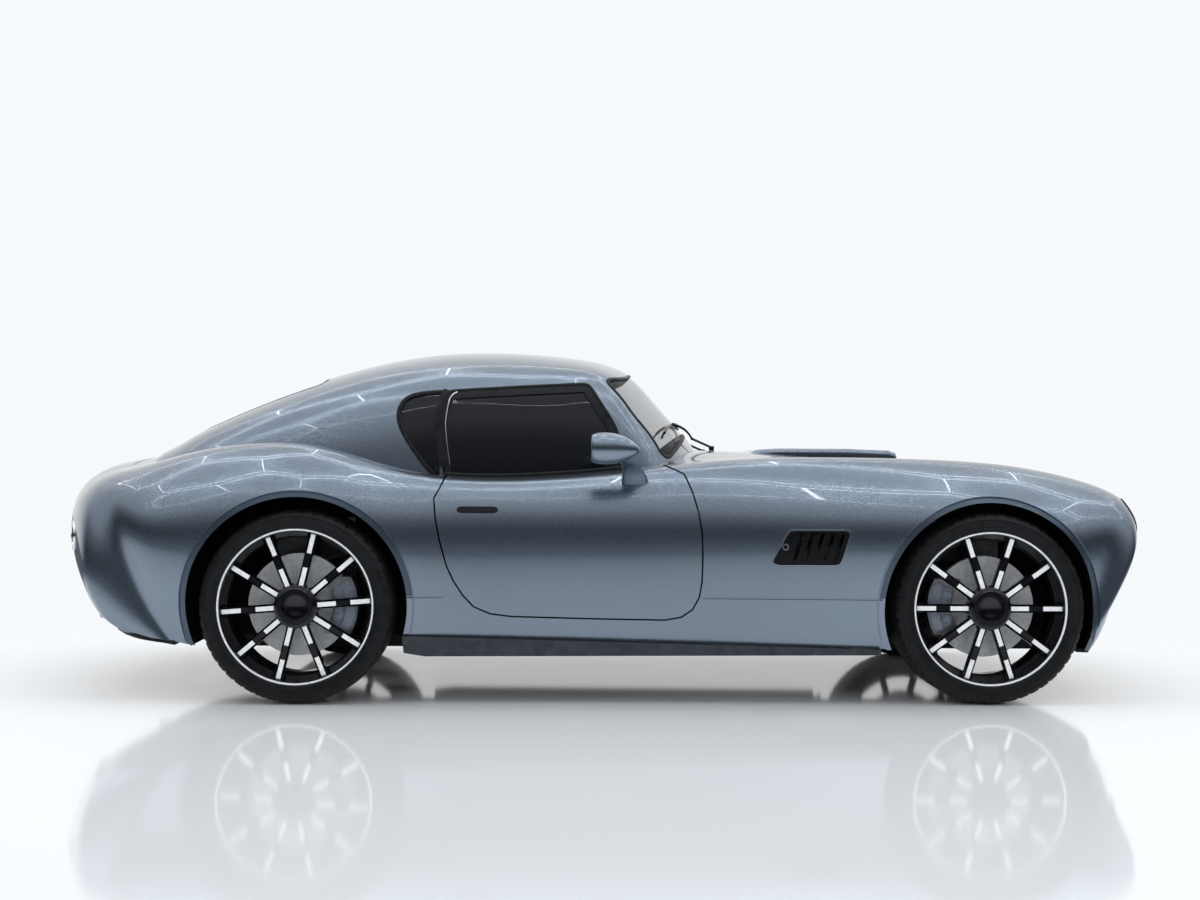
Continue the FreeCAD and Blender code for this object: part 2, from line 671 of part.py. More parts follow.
# bonnet with its scoop
bonnet_wall = body_wall(size("lid_t"))
bonnet = biggest(bonnet_wall.common(bonnet_in).cut(cabin_skin))
SCOOP = [(560, 880), (600, 930), (650, 948), (730, 954), (1018, 954), (1195, 948), (1222, 938), (1222, 880)]
scoop = prism(SCOOP, -190, 190)
rims = [e for e in scoop.Edges if e.BoundBox.YLength < 1 and e.BoundBox.ZMin > 925]
scoop = scoop.makeFillet(20, rims)
scoop = scoop.cut(body_skin)
throat = block(along(1000), along(1300), -165, 165, 880, 938)
scoop = biggest(scoop.cut(throat))
ARM = [(1560, 1000), (1650, 1000), (1665, 810), (1735, 775), (1735, 720), (1640, 720), (1560, 800)]
arm = prism(ARM, 280, 292).common(dome(inset(body_rows, 6, 20)))
keep("bonnet", bonnet.fuse([scoop, arm, flip(arm)]))
boot = biggest(bonnet_wall.common(boot_in).cut(cabin_skin))
BOOT_ARM = [
    (-1870, 1000), (-1935, 1000), (-1935, 800), (-1880, 750), (-1800, 750), (-1800, 795), (-1870, 830),
]
arm = prism(BOOT_ARM, 250, 262).common(dome(inset(body_rows, 6, 20)))
keep("boot_lid", boot.fuse([arm, flip(arm)]))

# doors
door = biggest(body_wall(size("door_t")).common(door_in).cut(dome(inset(cabin_rows, -fit, 0))))
handle_cut = prism(HANDLE, 600, 1100)
door_body = biggest(door.cut(handle_cut.cut(dome(inset(body_rows, 22, 20)))))
door_body = door_body.fuse(block(along(350) - 45, along(350) - 5, 770, 840, 560, 572))
keep("door_left", door_body)
keep("door_right", flip(door_body))
handle = dome(inset(body_rows, 5, 20)).cut(dome(inset(body_rows, 21.7, 20)))
handle = biggest(handle.common(prism(HANDLE, 600, 1100, -fit)))
keep("door_handle_left", handle)
keep("door_handle_right", flip(handle))

# mirrors: a bullet on a foot
MIRROR = [(-50, 0), (-50, 54), (-40, 61), (-10, 64), (30, 58), (70, 44), (105, 25), (122, 10), (128, 0)]
pts = [Vector(x, 0, r) for x, r in MIRROR]
bullet = Part.BSplineCurve()
bullet.interpolate(pts[1:])
profile = Part.Wire([Part.makeLine(pts[-1], pts[0]), Part.makeLine(pts[0], pts[1]), bullet.toShape()])
housing = Part.Face(profile).revolve(Vector(0, 0, 0), Vector(1, 0, 0), 360)
housing.translate(Vector(along(0), 985, 946))
housing = housing.cut(Part.makeCylinder(50, 8, Vector(along(0) - 51, 985, 946), Vector(1, 0, 0)))
foot_low = Part.Wire([Part.Ellipse(Vector(along(118), 800, 812), 50, 22).toShape()])
foot_high = Part.Wire([Part.Ellipse(Vector(along(62), 965, 925), 34, 16).toShape()])
foot = Part.makeLoft([foot_low, foot_high], True)
mirror = biggest(housing.fuse(foot).cut(body_lift))
keep("mirror_left", mirror)
keep("mirror_right", flip(mirror))

# cabin
DOOR_PANE = [
    (-57, 1197), (-275, 1185), (-527, 1169), (-598, 1163), (-624, 1092), (-631, 1042), (-622, 967),
    (-604, 815), (-272, 815), (60, 815), (130, 815), (40, 1045),
]
QUARTER = [
    (-611, 1162), (-690, 1156), (-734, 1147), (-764, 1128), (-784, 1090), (-781, 1040), (-757, 990),
    (-718, 930), (-673, 872), (-640, 838), (-619, 826), (-635, 967), (-644, 1042), (-637, 1095),
]
PANE_OPEN = prism(DOOR_PANE, 400, 1100)
QUARTER_OPEN = prism(QUARTER, 400, 1100)
slope_top = Vector(along(98), 0, 1263)
slope_foot = Vector(along(378), 0, 984)
SCREEN = [(26, 300), (8, 450), (-24, 562), (-8, 586), (150, 612), (330, 622), (362, 596)]
REAR_TOP = Vector(along(-1080), 0, 1240)
REAR_FOOT = Vector(along(-1640), 0, 1000)
REAR = [(30, 350), (60, 400), (500, 350), (545, 300)]


def slope_prism(origin, end, pairs, step=0.0):
    along_dir = (end - origin).normalize()
    normal = along_dir.cross(Vector(0, 1, 0))
    pts = [origin + along_dir * s + Vector(0, y * wide, 0) for s, y in pairs]
    pts += [origin + along_dir * s - Vector(0, y * wide, 0) for s, y in reversed(pairs)]
    wire = Part.makePolygon(pts + pts[:1])
    if step:
        wire = wire.makeOffset2D(step, 0)
    face = Part.Face(wire)
    face.translate(normal * -190)
    return face.extrude(normal * 290)


roof = cabin_wall(0, size("roof_t")).cut(body_lift)
roof = roof.cut(Part.makeCompound([PANE_OPEN, QUARTER_OPEN]))
roof = roof.cut(flip(PANE_OPEN)).cut(flip(QUARTER_OPEN))
screen_open = slope_prism(slope_top, slope_foot, SCREEN)
rear_open = slope_prism(REAR_TOP, REAR_FOOT, REAR)
roof = biggest(roof.cut(screen_open).cut(rear_open))
keep("roof", roof)
pane_wall = cabin_wall(6, size("glass_t"))
keep("windscreen", biggest(pane_wall.common(slope_prism(slope_top, slope_foot, SCREEN, -fit))))
keep("rear_window", biggest(pane_wall.common(slope_prism(REAR_TOP, REAR_FOOT, REAR, -fit))))
keep("quarter_windows", both(biggest(pane_wall.common(prism(QUARTER, 400, 1100, -fit)))))
frame_ring = cabin_wall(0, size("roof_t") - 6).common(prism(DOOR_PANE, 400, 1100, -gap))
frame_ring = frame_ring.cut(body_lift).cut(prism(DOOR_PANE, 400, 1100, -gap - 26))
frame_ring = biggest(frame_ring)
keep("door_frame_left", frame_ring)
keep("door_frame_right", flip(frame_ring))
door_glass = pane_wall.common(prism(DOOR_PANE, 400, 1100, -gap - 26 - fit))
door_glass = biggest(door_glass.cut(body_lift))
keep("door_glass_left", door_glass)
keep("door_glass_right", flip(door_glass))

# lamps, grille and small fittings
lamp = Part.makeCylinder(size("lamp_r") - fit, 400, lamp_at, Vector(1, 0, 0)).common(body_skin)
lamp = lamp.cut(block(0, along(1900), -1000, 1000, 0, 1200))
keep("headlights", both(biggest(lamp)))
tail_lamp = Part.makeCylinder(size("tail_lamp_r") - fit, 500, tail_at, Vector(1, 0, 0)).common(body_skin)
tail_lamp = tail_lamp.cut(block(along(-1990), 0, -1000, 1000, 0, 1200))
keep("tail_lights", both(biggest(tail_lamp)))
ring_out = Part.makeCylinder(125 - fit, 50, Vector(along(1990), 0, 0), Vector(1, 0, 0))
ring_in = Part.makeCylinder(115, 50, Vector(along(1990), 0, 0), Vector(1, 0, 0))
ring_out = ring_out.transformGeometry(stretch)
ring_in = ring_in.transformGeometry(stretch)
bars = [block(along(2000), along(2015), -400, 400, z - 3, z + 3) for z in range(-100, 101, 25)]
bars += [block(along(2000), along(2015), y - 3, y + 3, -150, 150) for y in range(-300, 301, 60)]
grille = ring_out.cut(ring_in).fuse([ring_out.common(b) for b in bars])
grille.translate(Vector(0, 0, 480))
keep("grille", grille)

SKIRT = [(-745, 246.5), (1035, 202.5), (1035, 182), (0, 176), (-660, 172), (-738, 184)]
SKIRT_ROOF = [(-760, 248.7), (1060, 203.7), (1060, 300), (-760, 300)]
skirt = prism(SKIRT, SKIRT_Y, 882).cut(prism(SKIRT_ROOF, -1200, 1200))
skirt = skirt.cut(arch_f).cut(arch_r)
keep("side_skirts", both(biggest(skirt)))

# cabin fittings
bulk = block(along(350), along(356), -780, 780, floor_z + fit, 900)
bulk = bulk.common(dome(inset(body_rows, size("lid_t") + 6, 20)))
rear_bulk = block(along(-645), along(-645) + 6, -780, 780, floor_z + fit, 850)
rear_bulk = rear_bulk.common(dome(inset(body_rows, size("door_t") + 6, 20)))
DASH = [(110, 660), (160, 620), (349.7, 620), (349.7, 822), (200, 846), (120, 830)]
dash = prism(DASH, -640, 640)
keep("dashboard", dash)
shaft_hole = Part.makeCylinder(50, 3000, Vector(-1500, 0, 330), Vector(1, 0, 0))
keep("front_bulkhead", bulk.cut(shaft_hole))
column_at = Vector(125, size("seat_y"), 745)
lean = Vector(-1, 0, 0.42).normalize()
wheel_at = column_at + lean * 190
ring = Part.makeTorus(182, 14, wheel_at, lean)
column = Part.makeCylinder(26, 184, column_at + lean * 6, lean)
spokes = []
across = Vector(0, 1, 0)
down_dir = lean.cross(across)
for spoke_dir in (across, across * -1, down_dir if down_dir.z < 0 else down_dir * -1):
    spokes.append(Part.makeCylinder(10, 182, wheel_at, spoke_dir))
tail_end = Part.makeCylinder(26, 60, column_at + lean * -40, lean)
wheel = ring.fuse(spokes + [column, tail_end]).cut(dash)
keep("steering_wheel", biggest(wheel))


SEAT_BACK = [(-520, 430), (-380, 470), (-480, 1010), (-570, 1010), (-612, 960), (-600, 480)]


def seat(y):
    base = block(along(-520), along(0), y - 230, y + 230, floor_z + fit, 470)
    back = prism(SEAT_BACK, y - 230, y + 230)
    return base.fuse(back).removeSplitter()


keep("seats", both(seat(size("seat_y"))))

# wheel houses
HOUSE_PLAN = [(-460, 400), (-460, 838), (330, 838), (400, 788), (440, 768), (440, 400)]


def wheel_house(x, radius):
    """a half tunnel over the wheel that stands on the rail, open round the suspension"""
    y0 = rail_out + fit
    r = radius - fit
    tunnel = Part.makeCylinder(r, 1000 - y0, Vector(x, y0, axle_z), Vector(0, 1, 0))
    tunnel = tunnel.cut(Part.makeCylinder(r - 4, 1000, Vector(x, y0 + 4, axle_z), Vector(0, 1, 0)))
    tunnel = tunnel.cut(block(x - 160, x + 160, 0, y0 + 60, 0, axle_z + 310))
    tunnel = tunnel.cut(block(x - 900, x + 900, 0, 1200, 0, 204))
    plan = [Vector(x + u, v * wide, 0) for u, v in HOUSE_PLAN]
    return tunnel.common(Part.Face(Part.makePolygon(plan + plan[:1])).extrude(Vector(0, 0, 900)))


front_house = biggest(wheel_house(front_x, size("arch_front_r")))
rear_house = biggest(wheel_house(rear_x, size("arch_rear_r")))
keep("wheel_arch_liners", Part.makeCompound([both(front_house), both(rear_house)]))

# under trim
LIP = [(1800, 0), (1800, 780), (1838, 790), (1880, 680), (1925, 500), (1955, 300), (1966, 0)]
lip_pts = [Vector(along(x), y, 200 - fit - 14) for x, y in LIP]
lip_pts += [Vector(p.x, -p.y, p.z) for p in reversed(lip_pts[1:-1])]
keep("front_splitter", Part.Face(Part.makePolygon(lip_pts + lip_pts[:1])).extrude(Vector(0, 0, 14)))
TRAY = [(x, z - fit) for x, z in UNDER_TAIL[1:]]
tray = prism(TRAY, -900, 900, 0, [(x, z - 12) for x, z in reversed(TRAY)])
tray = tray.common(dome(inset(body_rows, 2, 60)))
rail_room = block(along(-1650), along(-1450), size("rail_y") - 8, rail_out + 8, 100, 400)
tray = tray.cut(rail_room).cut(flip(rail_room))
keep("rear_diffuser", biggest(tray))
pipe = Part.makeCylinder(size("pipe_r"), 310, pipe_at, Vector(1, 0, 0))
pipe = pipe.cut(Part.makeCylinder(size("pipe_r") - 3, 310, pipe_at, Vector(1, 0, 0)))
keep("exhausts", both(pipe))

# windscreen wipers, parked along the foot of the screen
WIPERS = [
    # spindle x y, top z, elbow x y z, blade from y to y
    (470, -60, 962, 372, -270, 990, -490, -50),
    (470, 400, 950, 345, 210, 990, 0, 420),
]
wipers = []
for x, y, z, ex, ey, ez, y0, y1 in WIPERS:
    spindle = Part.makeCylinder(11, 120, Vector(along(x), y, z - 120), Vector(0, 0, 1)).cut(body_lift)
    top = Vector(along(x), y, z - 6)
    elbow = Vector(along(ex), ey, ez)
    arm = Part.makeCylinder(5, (elbow - top).Length, top, elbow - top)
    wipers.append(biggest(spindle).fuse([arm, Part.makeSphere(6, elbow)]))
keep("wipers", Part.makeCompound([w.removeSplitter() for w in wipers]))

# supports for the three pairs of hinges
door_post = box(
    "hinge_post_left", "50", "100", "140 - Sizes.fit_gap",
    REAR_X + " + 1480 * Sizes.wheelbase / 2570 - 50 - Sizes.fit_gap", "700", "420",
)
fused("hinge_posts", [door_post, mirrored_object("hinge_post_right", door_post)])
nose_at = "Sizes.front_axle_x + 250 * Sizes.front_overhang / 672.5 + 12"
nose_y = "292 + Sizes.fit_gap"
nose_post = box("nose_post", "40", "40 - Sizes.fit_gap", "780 - (%s)" % BED, nose_at, nose_y, BED)
nose_foot = box("nose_foot", "40", "108 - Sizes.fit_gap", "30", nose_at, nose_y, BED)
nose_bar = box("nose_bar", "40", "664", "40", nose_at, "-332", "560")
nose_side = [nose_post, nose_foot]
nose_side += [mirrored_object("nose_post_right", nose_post), mirrored_object("nose_foot_right", nose_foot)]
fused("radiator_support", nose_side + [nose_bar])
boot_at = REAR_X + " - 720 * Sizes.rear_overhang / 982.5 + 14"
BOOT_BED = "Sizes.rail_z + Sizes.rail_h + 84 + 2 * Sizes.fit_gap"
boot_y = "262 + Sizes.fit_gap"
tall = "800 - (%s)" % BOOT_BED
tail_post = box("tail_post", "40", "40 - Sizes.fit_gap", tall, boot_at, boot_y, BOOT_BED)
tail_foot = box("tail_foot", "40", "138 - Sizes.fit_gap", "30", boot_at, boot_y, BOOT_BED)
tail_bar = box("tail_bar", "40", "604", "40", boot_at, "-302", "600")
tail_side = [tail_post, tail_foot]
tail_side += [mirrored_object("tail_post_right", tail_post), mirrored_object("tail_foot_right", tail_foot)]
fused("boot_hinge_frame", tail_side + [tail_bar])
keep("rear_bulkhead", rear_bulk.cut(shaft_hole))

doc.recompute()
for item in doc.Objects:
    if "Invalid" in item.State or "Error" in item.State:
        raise ValueError("%s is %s" % (item.Name, item.State))
for name, feature in made.items():
    if feature.Shape.isNull() or not feature.Shape.isValid() or not feature.Shape.Solids:
        raise ValueError(name + " is not a sound shape")
    feature.Shape.exportStep("parts/%s.step" % name)
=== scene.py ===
import json
import math

import bpy
import bmesh
import numpy as np
from mathutils import Matrix, Vector, kdtree


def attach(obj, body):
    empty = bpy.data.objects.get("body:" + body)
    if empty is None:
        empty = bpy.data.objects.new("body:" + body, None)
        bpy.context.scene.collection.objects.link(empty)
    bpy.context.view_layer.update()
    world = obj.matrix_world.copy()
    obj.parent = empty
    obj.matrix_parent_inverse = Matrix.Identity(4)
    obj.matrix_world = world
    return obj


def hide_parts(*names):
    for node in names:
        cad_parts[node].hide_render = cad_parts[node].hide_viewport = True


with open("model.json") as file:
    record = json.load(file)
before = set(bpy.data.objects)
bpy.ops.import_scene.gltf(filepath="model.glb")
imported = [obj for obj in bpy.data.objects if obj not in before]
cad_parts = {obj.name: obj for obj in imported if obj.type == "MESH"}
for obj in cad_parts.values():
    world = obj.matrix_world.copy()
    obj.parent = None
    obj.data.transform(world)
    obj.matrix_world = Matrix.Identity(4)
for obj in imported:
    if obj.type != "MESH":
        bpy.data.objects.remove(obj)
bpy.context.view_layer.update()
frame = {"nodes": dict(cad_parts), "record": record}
nodes = frame["nodes"]
sides = ((1, "left"), (-1, "right"))


# shared ways of making objects and shaders
def addObject(name, data):
    made = bpy.data.objects.new(name, data)
    bpy.context.scene.collection.objects.link(made)
    return made


# an input's value is a plain one or the output to link to it
def setInputs(node, inputs):
    for word, value in inputs.items():
        if isinstance(value, bpy.types.NodeSocket):
            node.id_data.links.new(value, node.inputs[word])
        else:
            node.inputs[word].default_value = value


def addNode(tree, kind, inputs=None, **settings):
    node = tree.nodes.new("ShaderNode" + kind)
    for word, value in settings.items():
        setattr(node, word, value)
    setInputs(node, inputs or {})
    return node.outputs


def addRamp(tree, source, stops, easing="LINEAR"):
    ramp = addNode(tree, "ValToRGB", {0: source})[0]
    look = ramp.node.color_ramp
    look.interpolation = easing
    while len(look.elements) < len(stops):
        look.elements.new(0.5)
    for mark, (at, colour) in zip(look.elements, stops):
        mark.position = at
        mark.color = (*colour, 1)
    return ramp


def addRange(tree, source, start, end=(0.0, 1.0), easing="LINEAR"):
    inputs = dict(enumerate((source, *start, *end)))  # the node's first five inputs, in its own order
    return addNode(tree, "MapRange", inputs, interpolation_type=easing)[0]


def newMaterial(name):
    mat = bpy.data.materials.new(name)
    mat.use_nodes = True
    return mat, mat.node_tree


def setShader(mat, inputs):
    setInputs(mat.node_tree.nodes["Principled BSDF"], inputs)


def setSurface(tree, output):
    setInputs(tree.nodes["Material Output"], {"Surface": output})


# camera, lamps and room, in metres and degrees, the lens in mm
cameraLook = {"place": (-0.175, -7.37, 0.917), "turn": -1.4, "pitch": 0.2, "roll": 0.38, "lens": 52.5}


def lookCamera():
    data = bpy.data.cameras.new("camera")
    data.lens = cameraLook["lens"]
    data.sensor_width = 36.0
    data.clip_end = 200.0
    camera = addObject("camera", data)
    pose = Matrix.Translation(cameraLook["place"])
    for axis, start, word in (("Z", 0, "turn"), ("X", 90, "pitch"), ("Z", 0, "roll")):
        pose = pose @ Matrix.Rotation(math.radians(start + cameraLook[word]), 4, axis)
    camera.matrix_world = pose
    bpy.context.scene.camera = camera


lampBoxes = {
    # place, aim, size, power
    "top_box": ((0, -0.4, 4.8), (0, 0, 0), (7.5, 4.0), 150),
    "front_box": ((1.0, -7.5, 3.6), (0, 0, 0.5), (6.0, 1.6), 70),
    "rear_box": ((-0.5, 6.5, 3.4), (0, 0, 0.5), (7.0, 1.6), 110),
    "nose_box": ((6.5, -1.0, 2.8), (0, 0, 0.6), (1.6, 4.0), 40),
    "tail_box": ((-6.5, -1.0, 2.8), (0, 0, 0.6), (1.6, 4.0), 40),
}


def areaLamp(name, place, aim, size, power):
    data = bpy.data.lights.new(name, "AREA")
    data.shape = "RECTANGLE"
    data.size, data.size_y = size
    data.energy = power
    lamp = addObject(name, data)
    lamp.location = place
    lamp.rotation_euler = (Vector(aim) - Vector(place)).to_track_quat("-Z", "Y").to_euler()
    lamp.visible_glossy = False


roomLook = {
    "soft": ((0.95, 0.97, 1.0), 0.8),  # colour and strength of the light on the car
    "wall": (0.925, 0.95, 0.975),
    # height of the direction from straight down to straight up, brightness in the gloss
    "gloss": [(0.0, 0.8), (0.4, 0.62), (0.47, 0.1), (0.51, 0.03), (0.58, 0.03),
              (0.65, 0.2), (0.76, 0.66), (1.0, 0.95)],
    "glossTint": (0.96, 0.99, 1.03),
    "farGloss": 0.9,
    "farSide": (0.1, 0.7),
    "floorHalf": 30,
    "floorGloss": (0.1, 0.115, 0.135),
    "floorColour": (0.84, 0.865, 0.885),
    "floorRough": (0.05, 0.12),
    "floorFade": (2.5, 4.3),
    "fadeShift": (0.0, 1.4, 0.0),
    "fadeScale": (0.62, 1.0, 0.0),
}


def buildWorld():
    world = bpy.data.worlds.new("studio")
    bpy.context.scene.world = world
    world.use_nodes = True
    tree = world.node_tree
    tree.nodes.clear()
    split = addNode(tree, "SeparateXYZ", {0: addNode(tree, "TexCoord")["Generated"]})
    lift = addNode(tree, "Math", {0: split["Z"], 1: 0.5, 2: 0.5}, operation="MULTIPLY_ADD")[0]
    stops = [(at, [level * c for c in roomLook["glossTint"]]) for at, level in roomLook["gloss"]]
    near = addRamp(tree, lift, stops, "EASE")
    # the horizon's dark band lies on the near side only
    far = addRange(tree, split["Y"], roomLook["farSide"], easing="SMOOTHSTEP")
    farTone = (*[roomLook["farGloss"]] * 3, 1)
    both = addNode(tree, "Mix", {0: far, 6: near, 7: farTone}, data_type="RGBA")[2]
    (colour, strength), wall = roomLook["soft"], (*roomLook["wall"], 1)
    shader = addNode(tree, "Background", {"Color": (*colour, 1), "Strength": strength})[0]
    gloss = addNode(tree, "Background", {"Color": both, "Strength": 1.0})[0]
    white = addNode(tree, "Background", {"Color": wall, "Strength": 1.0})[0]
    path = addNode(tree, "LightPath")
    for ray, other in (("Glossy", gloss), ("Transmission", white), ("Camera", white)):
        shader = addNode(tree, "MixShader", {0: path["Is " + ray + " Ray"], 1: shader, 2: other})[0]
    addNode(tree, "OutputWorld", {0: shader})


def buildFloor():
    mesh = bpy.data.meshes.new("floor")
    s = roomLook["floorHalf"]
    mesh.from_pydata([(-s, -s, 0), (s, -s, 0), (s, s, 0), (-s, s, 0)], [], [(0, 1, 2, 3)])
    floor = addObject("floor", mesh)
    mat, tree = newMaterial("studio_floor")
    noise = addNode(tree, "TexNoise", {"Scale": 0.9, "Detail": 6})["Fac"]
    rough = addRange(tree, noise, (0.35, 0.7), roomLook["floorRough"])
    setShader(mat, {"Base Color": (*roomLook["floorColour"], 1), "Roughness": rough})
    # further out the floor takes the wall's colour
    place = {0: addNode(tree, "TexCoord")["Object"], "Location": roomLook["fadeShift"],
             "Scale": roomLook["fadeScale"]}
    reach = addNode(tree, "VectorMath", {0: addNode(tree, "Mapping", place)[0]}, operation="LENGTH")["Value"]
    fade = addRange(tree, reach, roomLook["floorFade"], easing="SMOOTHSTEP")
    tones = {0: addNode(tree, "LightPath")["Is Glossy Ray"], 6: (*roomLook["wall"], 1),
             7: (*roomLook["floorGloss"], 1)}
    glow = addNode(tree, "Emission", {"Color": addNode(tree, "Mix", tones, data_type="RGBA")[2]})[0]
    near = tree.nodes["Principled BSDF"].outputs[0]
    setSurface(tree, addNode(tree, "MixShader", {0: fade, 1: near, 2: glow})[0])
    mesh.materials.append(mat)


tubeLook = {
    "height": 4.3, "side": 1.25, "half": 0.011,
    "colour": (0.96, 0.98, 1.0), "strength": 17.0,
    "rows": (-3.2, -1.0, 1.2), "columns": range(-2, 3),
}


# a honeycomb of light tubes overhead, seen only in the gloss
def buildTubes():
    side, half, z = tubeLook["side"], tubeLook["half"], tubeLook["height"]
    turns, edges = [k * math.pi / 3 for k in range(7)], {}
    for rank, y in enumerate(tubeLook["rows"]):
        for column in tubeLook["columns"]:
            x = column * side * 1.732 + (rank % 2) * side * 0.866
            ring = [Vector((x + side * math.sin(turn), y + side * math.cos(turn))) for turn in turns]
            for a, b in zip(ring, ring[1:]):
                edges.setdefault(tuple(round(v, 1) for v in a + b), (a, b))
    verts = []
    for a, b in edges.values():
        across = (b - a).normalized().orthogonal() * half
        verts += [(*p, z) for p in (a - across, a + across, b + across, b - across)]
    faces = [range(k, k + 4) for k in range(0, len(verts), 4)]
    mesh = bpy.data.meshes.new("light_tubes")
    mesh.from_pydata(verts, [], faces)
    tubes = addObject("light_tubes", mesh)
    mat, tree = newMaterial("tube_light")
    light = {"Color": (*tubeLook["colour"], 1), "Strength": tubeLook["strength"]}
    setSurface(tree, addNode(tree, "Emission", light)[0])
    mesh.materials.append(mat)
    tubes.visible_camera = tubes.visible_diffuse = tubes.visible_shadow = False


lookCamera()
buildWorld()
buildFloor()
buildTubes()
for name, box in lampBoxes.items():
    areaLamp(name, *box)
bpy.context.scene.view_settings.view_transform = "Standard"
print("room ready")


# colour, roughness and relief that vary over the surface
def newFinish(name, dark, light, scale, detail, rough, metallic=0.0, bump=None, coat=None):
    mat, tree = newMaterial(name)
    place = addNode(tree, "TexCoord")["Object"]
    noise = addNode(tree, "TexNoise", {"Vector": place, "Scale": scale, "Detail": detail})["Fac"]
    colour = addRamp(tree, noise, [(0.35, dark), (0.65, light)])
    spread = addRange(tree, noise, (0.3, 0.7), rough)
    setShader(mat, {"Base Color": colour, "Roughness": spread, "Metallic": metallic})
    if coat:
        setShader(mat, {"Coat Weight": coat[0], "Coat Roughness": coat[1], "Coat IOR": 1.65})
    if bump:
        grain = addNode(tree, "TexNoise", {"Vector": place, "Scale": bump[0], "Detail": 4})["Fac"]
        relief = addNode(tree, "Bump", {"Height": grain, "Strength": 0.6, "Distance": bump[1]})[0]
        setShader(mat, {"Normal": relief})
    return mat


finishLook = {
    # dark and light colour, noise scale and detail, roughness, metallic,
    # relief scale and depth, coat weight and roughness
    "body_paint": ((0.16, 0.203, 0.26), (0.188, 0.234, 0.294), 900, 2, (0.22, 0.3),
                   0.93, None, (0.8, 0.025)),
    "black_trim": ((0.006, 0.0065, 0.008), (0.013, 0.014, 0.016), 40, 4, (0.36, 0.48), 0, (900, 0.0002)),
    "handle_black": ((0.004, 0.004, 0.005), (0.008, 0.008, 0.01), 60, 3, (0.18, 0.26)),
    "liner_plastic": ((0.006, 0.006, 0.007), (0.014, 0.014, 0.015), 30, 5, (0.75, 0.92), 0, (260, 0.0006)),
    "frame_steel": ((0.012, 0.012, 0.013), (0.03, 0.03, 0.032), 18, 5, (0.42, 0.6), 0.2, (220, 0.0002)),
    "cast_alloy": ((0.2, 0.205, 0.215), (0.34, 0.345, 0.355), 24, 6, (0.38, 0.56), 0.9, (420, 0.0004)),
    "drive_steel": ((0.13, 0.13, 0.135), (0.24, 0.24, 0.245), 30, 5, (0.34, 0.5), 0.9, (300, 0.0002)),
    "exhaust_steel": ((0.52, 0.52, 0.54), (0.66, 0.66, 0.68), 20, 4, (0.12, 0.22), 1),
    "seat_leather": ((0.012, 0.012, 0.014), (0.03, 0.03, 0.034), 14, 5, (0.42, 0.6), 0, (520, 0.0008)),
    "dash_plastic": ((0.012, 0.012, 0.013), (0.022, 0.022, 0.024), 20, 4, (0.6, 0.75), 0, (700, 0.0005)),
    "rim_leather": ((0.01, 0.01, 0.01), (0.022, 0.022, 0.022), 30, 4, (0.45, 0.6), 0, (800, 0.0004)),
    "tyre_rubber": ((0.004, 0.0045, 0.0055), (0.008, 0.009, 0.0105), 22, 6, (0.42, 0.55), 0, (600, 0.0003)),
    "rim_black": ((0.002, 0.002, 0.003), (0.004, 0.004, 0.006), 40, 3, (0.06, 0.14)),
    "disc_iron": ((0.5, 0.51, 0.52), (0.62, 0.63, 0.645), 60, 4, (0.28, 0.4), 0.35),
    "tail_lens": ((0.2, 0.004, 0.004), (0.34, 0.01, 0.008), 30, 3, (0.12, 0.2), 0, None, (1, 0.04)),
}
glassLook = {
    # colour, alpha
    "dark_glass": ((0.004, 0.005, 0.007), 0.94),
    "clear_glass": ((0.03, 0.036, 0.042), 0.2),
    "lamp_glass": ((0.8, 0.84, 0.88), 0.3),
}
# how strongly the black pieces mirror the room
dullSpecular = {"black_trim": 0.16, "tyre_rubber": 0.22, "liner_plastic": 0.1, "frame_steel": 0.25,
                "handle_black": 0.3, "dark_glass": 0.4}
finishes = {name: newFinish(name, *look) for name, look in finishLook.items()}
for name, (colour, alpha) in glassLook.items():
    finishes[name] = newFinish(name, colour, [c * 1.15 for c in colour], 3, 2, (0.02, 0.05))
    setShader(finishes[name], {"Alpha": alpha, "IOR": 1.5})
for name, level in dullSpecular.items():
    setShader(finishes[name], {"Specular IOR Level": level})
slotOf = {part["node"]: part["material_slot"] for part in frame["record"]["subparts"]}
for name, obj in nodes.items():
    obj.data.materials.clear()
    obj.data.materials.append(finishes[slotOf[name]])
print("finishes on the frame")

# the panels take their normals from the skins they were cut from, here in mm
bodySections = [
    # station x, foot x, sill y, low y, waist y, shoulder y z, crest y z, inner y z, valley y z, centre z
    (-1720, -1550, 888, 903, 928, 905, 712, 730, 862, 570, 872, 400, 884, 905),
    (-1480, -1430, 890, 938, 970, 940, 765, 760, 936, 580, 925, 400, 925, 930),
    (-1130, -1130, 885, 945, 988, 962, 800, 775, 963, 620, 935, 420, 905, 880),
    (-850, -850, 870, 900, 938, 915, 742, 790, 882, 665, 872, 430, 864, 866),
    (-600, -600, 850, 868, 890, 876, 708, 808, 826, 690, 838, 430, 860, 866),
    (-250, -250, 846, 864, 886, 874, 705, 808, 822, 700, 838, 430, 872, 878),
    (150, 150, 846, 864, 886, 874, 712, 798, 852, 690, 874, 430, 918, 935),
    (500, 500, 848, 866, 890, 878, 725, 770, 893, 640, 908, 430, 930, 942),
    (900, 900, 858, 884, 912, 898, 735, 750, 907, 620, 908, 420, 910, 922),
    (1250, 1250, 866, 904, 938, 922, 745, 730, 910, 590, 894, 390, 886, 902),
    (1550, 1540, 868, 902, 936, 914, 730, 712, 892, 570, 872, 370, 858, 868),
    (1790, 1700, 868, 886, 912, 876, 700, 690, 848, 540, 830, 350, 820, 826),
]
leanShare = (0.0, 0.4, 0.75, 1, 1, 1, 1, 1, 1)
reachShare = (1.0, 0.99, 0.975, 0.94, 0.8, 0.63, 0.42, 0.2, 0.0)
